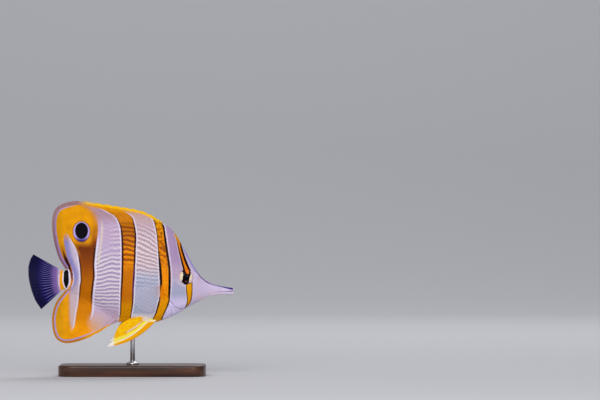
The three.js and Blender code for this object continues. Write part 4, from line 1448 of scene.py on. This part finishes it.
def tail_looks(graph):
    """Lilac at the root and then navy, with pale rays and a clear edge."""
    ray, out = graph.attribute("ray"), graph.attribute("out")
    place, x, z = graph.place_in_mm()
    grain = graph.noise(place, 500, 2)
    shade = layered(
        tail_start(x, z),
        (smooth(out, 0.04, 0.2), colour(0.46, 0.35, 0.59)),
        (smooth(out + (grain - 0.5) * 0.1, 0.2, 0.42), colour(0.09, 0.07, 0.34)),
        (smooth(ray, 0.4, 0.0) * between(out, 0.32, 0.62, 0.1) * 0.8, colour(0.02, 0.01, 0.16)),
        (smooth(ray, 0.45, 1.0) * window(out, 0.2, 0.35, 0.5, 0.74) * 0.6, colour(0.54, 0.50, 0.80)),
        (smooth(out, 0.5, 0.85) * 0.85, colour(0.02, 0.015, 0.15)),
    )
    return {"Base Color": shade, "Alpha": 1.0 - smooth(out, 0.95, 1.0) * 0.3}


def clear_looks(graph):
    """Almost clear, with paler rays and a golden root."""
    ray, out = graph.attribute("ray"), graph.attribute("out")
    shade = layered(colour(0.90, 0.86, 0.92), (smooth(out, 0.35, 0.2), COPPER))
    seen = smooth(ray, 0.4, 1.0) * smooth(out, 0.1, 0.4) * 0.14
    return {"Base Color": shade, "Alpha": seen + smooth(out, 0.16, 0.0) * 0.8 + 0.04}


def pelvic_looks(graph):
    """Golden, with a painted highlight along its membrane as a bright streak with a white line in it, and
    pale where it springs from the belly.
    """
    place, x, z = graph.place_in_mm()
    grain = graph.noise(place, 400, 2)
    above = z - along(PELVIC_HIGHLIGHT_LINE, x) + (grain - 0.5) * 0.8
    shade = layered(
        colour(0.97, 0.77, 0.0),
        (smooth(grain, 0.3, 0.7), colour(0.95, 0.67, 0.0)),
        (smooth(x, -4, -9) * smooth(above, 3.5, 2), colour(0.97, 0.84, 0.18)),
        (smooth(above, -0.4, -0.9), colour(0.95, 0.66, 0.0)),
        # Painted highlight: a bright yellow streak just above the line.
        (between(above, 0.2, 2.4, 0.5) * smooth(x, -12, -9), colour(0.96, 0.90, 0.30)),
        (between(above, 3.1, 4.1, 0.5) * between(x, -2.5, 6.5, 1.5) * 0.8, colour(0.84, 0.80, 0.80)),
        # Painted highlight: a white line along the line itself.
        (smooth(above.apply("ABSOLUTE"), 0.6, 0.2) * smooth(x, -13, -6) * 0.9, colour(0.98, 0.94, 0.86)),
        (smooth(z, -26.2, -25.2) * window(x, 6.5, 8.5, 11, 12.5) * 0.8, CREAM),
        (smooth(x, -9.6, -11.6), colour(0.96, 0.94, 0.90)),
    )
    return {"Base Color": shade}


def eye_looks(graph):
    """A cream iris behind a dark bar with an orange patch, a black pupil, and the lid over the front edge."""
    place, model_x, model_z = graph.place_in_mm()
    x, z = model_x - EYE["x"], model_z - EYE["z"]
    grain = graph.noise(place, 900, 3)
    from_bar = (x - along(EYE_BAR["middle"], z)).apply("ABSOLUTE") + (grain - 0.5) * 0.9
    bar = from_bar - along(EYE_BAR["half"], z)
    patch = (x - along(EYE_PATCH["middle"], z)).apply("ABSOLUTE") - along(EYE_PATCH["half"], z)
    glint = smooth((x + 0.1).apply("ABSOLUTE"), 0.8, 0.3) * smooth((z + 2.5).apply("ABSOLUTE"), 0.5, 0.2)
    lid = distance(x - EYELID["x"], z) - EYELID["radius"]
    shade = layered(
        colour(0.95, 0.90, 0.76),
        (grain, colour(0.86, 0.76, 0.66)),
        (smooth(bar, 0.2, -0.2), colour(0.07, 0.015, 0.05)),
        (smooth(patch, 0.3, -0.3) * smooth(z, 1.7, 2.4), colour(0.90, 0.46, 0.12)),
        (glint, colour(0.62, 0.34, 0.26)),
        (smooth(distance(x + 0.15, z + 0.3), 2.3, 2.05), colour(0.01, 0.01, 0.03)),
        (smooth(lid, -0.2, 0.15) * smooth(x, 0, 2) * smooth(z, 2.6, 1.4), LID),
        (smooth(x + z * 0.3, 3.4, 3.9) * smooth(z, 1.6, 2.6), LID),
    )
    return {"Base Color": shade}


def rim_looks(graph):
    _, x, z = graph.place_in_mm()
    in_bar = smooth((x - EYE["x"] + (z - EYE["z"]) * 0.16).apply("ABSOLUTE"), 2.6, 2.0)
    return {"Base Color": mix(in_bar, colour(0.80, 0.70, 0.70), colour(0.14, 0.05, 0.06))}


def wood_looks(graph):
    """Dark stained wood, with its grain along the base."""
    stretch = graph.node("Mapping")
    graph.link(graph.place(), stretch.inputs["Vector"])
    stretch.inputs["Scale"].default_value = (12, 150, 150)
    stretched = Wire(graph, stretch.outputs["Vector"])
    grain, fine = graph.noise(stretched, 1.4, 6), graph.noise(stretched, 9, 4)
    shade = layered(
        colour(0.20, 0.11, 0.07),
        (smooth(grain, 0.35, 0.68), colour(0.36, 0.21, 0.13)),
        (smooth(fine, 0.52, 0.75) * 0.5, colour(0.11, 0.06, 0.04)),
    )
    return {"Base Color": shade, "Roughness": fine * 0.2 + 0.28}


def steel_looks(graph):
    brushed = graph.noise(graph.place(), 1500, 2)
    shade = mix(brushed, colour(0.62, 0.62, 0.63), colour(0.80, 0.80, 0.81))
    return {"Base Color": shade, "Roughness": brushed * 0.2 + 0.22}


def paper_looks(graph):
    return {"Base Color": colour(0.80, 0.80, 0.81)}


# The eyes

def make_eye(name, side, material):
    """An ellipsoid set in the head, shallower front to back than it is wide."""
    p, a = np.meshgrid(np.linspace(0, np.pi, EYE_RINGS), circle_angles(EYE_SIDES), indexing="ij")
    local = np.stack([
        EYE["radius"] * np.sin(p) * np.cos(a),
        EYE["depth"] * np.cos(p),
        EYE["radius"] * np.sin(p) * np.sin(a),
    ], -1)
    turn = math.radians(EYE["turn"])
    x = local[..., 0] * math.cos(turn) + local[..., 1] * math.sin(turn)
    y = local[..., 1] * math.cos(turn) - local[..., 0] * math.sin(turn)
    surface = flesh_half_width(np.array(EYE["x"]), np.array(EYE["z"]))
    points = np.stack([
        x + EYE["x"],
        side * (y + surface + EYE_PROUD - EYE["depth"]),
        local[..., 2] + EYE["z"],
    ], -1)
    faces = grid_faces(EYE_RINGS, EYE_SIDES, wrap_columns=True)
    return new_piece(name, points, triangles_of(faces), material)


def make_eye_rim(name, side, material):
    """A thin ring laid where the eyeball leaves the skin."""
    a, b = np.meshgrid(circle_angles(EYE_SIDES), circle_angles(RIM_SIDES), indexing="ij")
    middle = EYE_SEEN + 0.05
    middle_x, middle_z = EYE["x"] + middle * np.cos(a), EYE["z"] + middle * np.sin(a)
    y = side_surface(middle_x, middle_z) + face_relief(middle_x, middle_z)
    radius = middle + RIM_HALF * np.cos(b)
    points = np.stack([
        EYE["x"] + radius * np.cos(a), side * (y + 0.1 + RIM_HALF * np.sin(b)), EYE["z"] + radius * np.sin(a),
    ], -1)
    index = np.arange(a.size).reshape(a.shape)
    ahead, above = np.roll(index, -1, 0), np.roll(index, -1, 1)
    faces = np.stack([index, ahead, np.roll(ahead, -1, 1), above], -1).reshape(-1, 4)
    return new_piece(name, points, triangles_of(faces[:, ::-side]), material)


# The stand

def rounded_outline(half_length, half_width, corner):
    points = []
    for quarter in range(4):
        cx = (half_length - corner) * (1 if quarter in (0, 3) else -1)
        cy = (half_width - corner) * (1 if quarter in (0, 1) else -1)
        for step in range(CORNER_STEPS + 1):
            turn = math.radians(90 * (quarter + step / CORNER_STEPS))
            points.append((cx + corner * math.cos(turn), cy + corner * math.sin(turn)))
    return np.array(points)


def make_base(material):
    edge, floor = BASE["edge"], -AXIS_HEIGHT
    profile = list(BASE_FOOT)
    for step in range(EDGE_STEPS + 1):
        turn = step / EDGE_STEPS * math.pi / 2
        profile.append((edge * (1 - math.cos(turn)), BASE["height"] - edge * (1 - math.sin(turn))))
    profile += [(edge + 0.8, BASE["height"])]
    rings = []
    for inset, height in profile:
        half_length, half_width = BASE["length"] / 2 - inset, BASE["width"] / 2 - inset
        outline = rounded_outline(half_length, half_width, BASE["corner"] - inset)
        heights = np.full(len(outline), floor + height)
        rings.append(np.column_stack([outline[:, 0] + STAND_X, outline[:, 1], heights]))
    return ring_solid("base", np.array(rings), material)


def round_piece(name, profile, material):
    """A turned piece round the rod's axis from (radius, height) pairs."""
    around = circle_angles(ROD_SIDES)
    rings = []
    for radius, height in profile:
        rings.append(np.column_stack([
            STAND_X + radius * np.cos(around), radius * np.sin(around), np.full(ROD_SIDES, height),
        ]))
    return ring_solid(name, np.array(rings), material)


def make_rod(material):
    seat = BASE["height"] - ROD_SEAT + GAP - AXIS_HEIGHT
    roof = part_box("stand_rod")[1][2] / MM - AXIS_HEIGHT
    return round_piece("rod", [
        (ROD_RADIUS - 0.25, seat), (ROD_RADIUS, seat + 0.25), (ROD_RADIUS, roof - 0.4),
        (ROD_RADIUS - 0.12, roof - 0.1), (ROD_RADIUS - 0.4, roof),
    ], material)


def make_collar(material):
    low = BASE["height"] + GAP - AXIS_HEIGHT
    high = low + COLLAR["height"]
    wide = COLLAR["radius"]
    return round_piece("collar", [
        (wide - 0.3, low - GAP), (wide, low), (wide, low + 0.5), (wide - 0.25, low + 0.85),
        (wide - 1.1, low + 1.1), (wide - 1.9, high - 0.3), (wide - 2.1, high), (ROD_RADIUS + 0.02, high),
    ], material)


# The camera, the lights and the floor

def aim(thing, target):
    thing.rotation_euler = (Vector(target) - thing.location).to_track_quat("-Z", "Y").to_euler()


def add_camera():
    data = bpy.data.cameras.new("camera")
    camera = add_object("camera", data)
    middle_x = (PICTURE[0] / 2 - FISH_MIDDLE[0]) * MM_PER_PIXEL * MM
    middle_z = (AXIS_HEIGHT + (FISH_MIDDLE[1] - PICTURE[1] / 2) * MM_PER_PIXEL) * MM
    camera.location = (middle_x, -CAMERA_DISTANCE, middle_z)
    camera.rotation_euler = (math.pi / 2, 0, 0)
    data.sensor_width = SENSOR
    data.lens = SENSOR * CAMERA_DISTANCE / (PICTURE[0] * MM_PER_PIXEL * MM)
    data.clip_end = CAMERA_REACH
    bpy.context.scene.camera = camera


def add_light(name, place, size, power, target):
    data = bpy.data.lights.new(name, "AREA")
    data.size = size
    data.energy = power
    light = add_object(name, data)
    light.location = place
    light.visible_camera = False
    aim(light, target)


def add_stage():
    """A pale floor that curves up into a backdrop."""
    material = new_material("stage_paper", paper_looks, 0.9, specular=0.2)
    profile = [(-STAGE_HALF, 0.0), (STAGE_DEPTH - STAGE_BEND, 0.0)]
    for step in range(1, STAGE_STEPS + 1):
        turn = step / STAGE_STEPS * math.pi / 2
        out, up = math.sin(turn), 1 - math.cos(turn)
        profile.append((STAGE_DEPTH - STAGE_BEND + STAGE_BEND * out, STAGE_BEND * up))
    profile.append((STAGE_DEPTH, STAGE_HEIGHT))
    points = [(x, y, z) for y, z in profile for x in (-STAGE_HALF, STAGE_HALF)]
    points = np.array(points) / MM - (0, 0, AXIS_HEIGHT)
    floor = new_piece("floor", points, grid_faces(len(profile), 2), material)


def add_lights():
    for name, settings in LIGHTS.items():
        add_light(name, **settings)
    world = bpy.data.worlds.new("studio")
    bpy.context.scene.world = world
    world.use_nodes = True
    sky = world.node_tree.nodes["Background"]
    sky.inputs["Color"].default_value = (*colour(0.95, 0.96, 1.0), 1)
    sky.inputs["Strength"].default_value = WORLD_STRENGTH


def settle(piece, slot, *nodes):
    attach(piece, "root")
    if nodes:
        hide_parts(*nodes)


add_camera()
add_stage()
add_lights()
bpy.context.scene.view_settings.view_transform = "Standard"

group = markings()
skin = make_skin(flesh_material("skin", group, scaled=False, roughness=0.45))
settle(skin, "skin", "head", "lower_jaw", "gill_cover_right", "gill_cover_left", "trunk", "tail")
dorsal_paint = copper_fin_material("dorsal_fin", group, dorsal_margin, scaled=False)
anal_paint = copper_fin_material("anal_fin", group, anal_margin, scaled=False)
settle(make_median_fin("dorsal", DORSAL, dorsal_paint), "copper_fin", "dorsal_fin")
settle(make_median_fin("anal", ANAL, anal_paint), "copper_fin", "anal_fin")
tail_paint = new_material("tail_fin", tail_looks, 0.45)
settle(make_fan_fin("tail_fan", TAIL_FIN, tail_paint, split=TAIL_SPLIT), "tail_fin", "tail_fin")
scaly = flesh_material("scales", group, scaled=True, roughness=0.42)
dorsal_scales = copper_fin_material("dorsal_scales", group, dorsal_margin, scaled=True)
anal_scales = copper_fin_material("anal_scales", group, anal_margin, scaled=True)
for name, side in (("right", -1), ("left", 1)):
    body = skin_scales(f"scales_body_{name}", side, BODY_SCALES, flank_rows, is_body_scale, scaly)
    settle(body, "skin")
    head = skin_scales(f"scales_head_{name}", side, HEAD_SCALES, head_rows, is_head_scale, scaly)
    settle(head, "skin")
    settle(fin_scales(f"scales_dorsal_{name}", DORSAL, side, dorsal_scales), "copper_fin")
    settle(fin_scales(f"scales_anal_{name}", ANAL, side, anal_scales), "copper_fin")
clear = new_material("clear_fin", clear_looks, 0.3)
yellow = new_material("pelvic_fin", pelvic_looks, 0.42)
eye_paint = new_material("eye", eye_looks, 0.15, specular=0.05)
rim_paint = new_material("eye_rim", rim_looks, 0.4)
for name, side in (("right", -1), ("left", 1)):
    settle(make_fan_fin(f"pectoral_{name}", PECTORAL, clear, side=side), "clear_fin", f"pectoral_fin_{name}")
    pose = LEFT_PELVIC if side > 0 else {}
    pelvic = make_fan_fin(f"pelvic_{name}", PELVIC, yellow, steps=PELVIC_STEPS, side=side, **pose)
    settle(pelvic, "pelvic_fin", f"pelvic_fin_{name}")
    settle(make_eye(f"eyeball_{name}", side, eye_paint), "eye", f"eye_{name}")
    settle(make_eye_rim(f"eye_rim_{name}", side, rim_paint), "skin")
wood = new_material("stand_wood", wood_looks, 0.4, coat=0.12, specular=0.35)
steel = new_material("stand_steel", steel_looks, 0.3, specular=0.5, metallic=1.0)
settle(make_base(wood), "stand_wood", "stand_base")
settle(make_rod(steel), "stand_steel", "stand_rod")
settle(make_collar(steel), "stand_steel", "stand_collar")
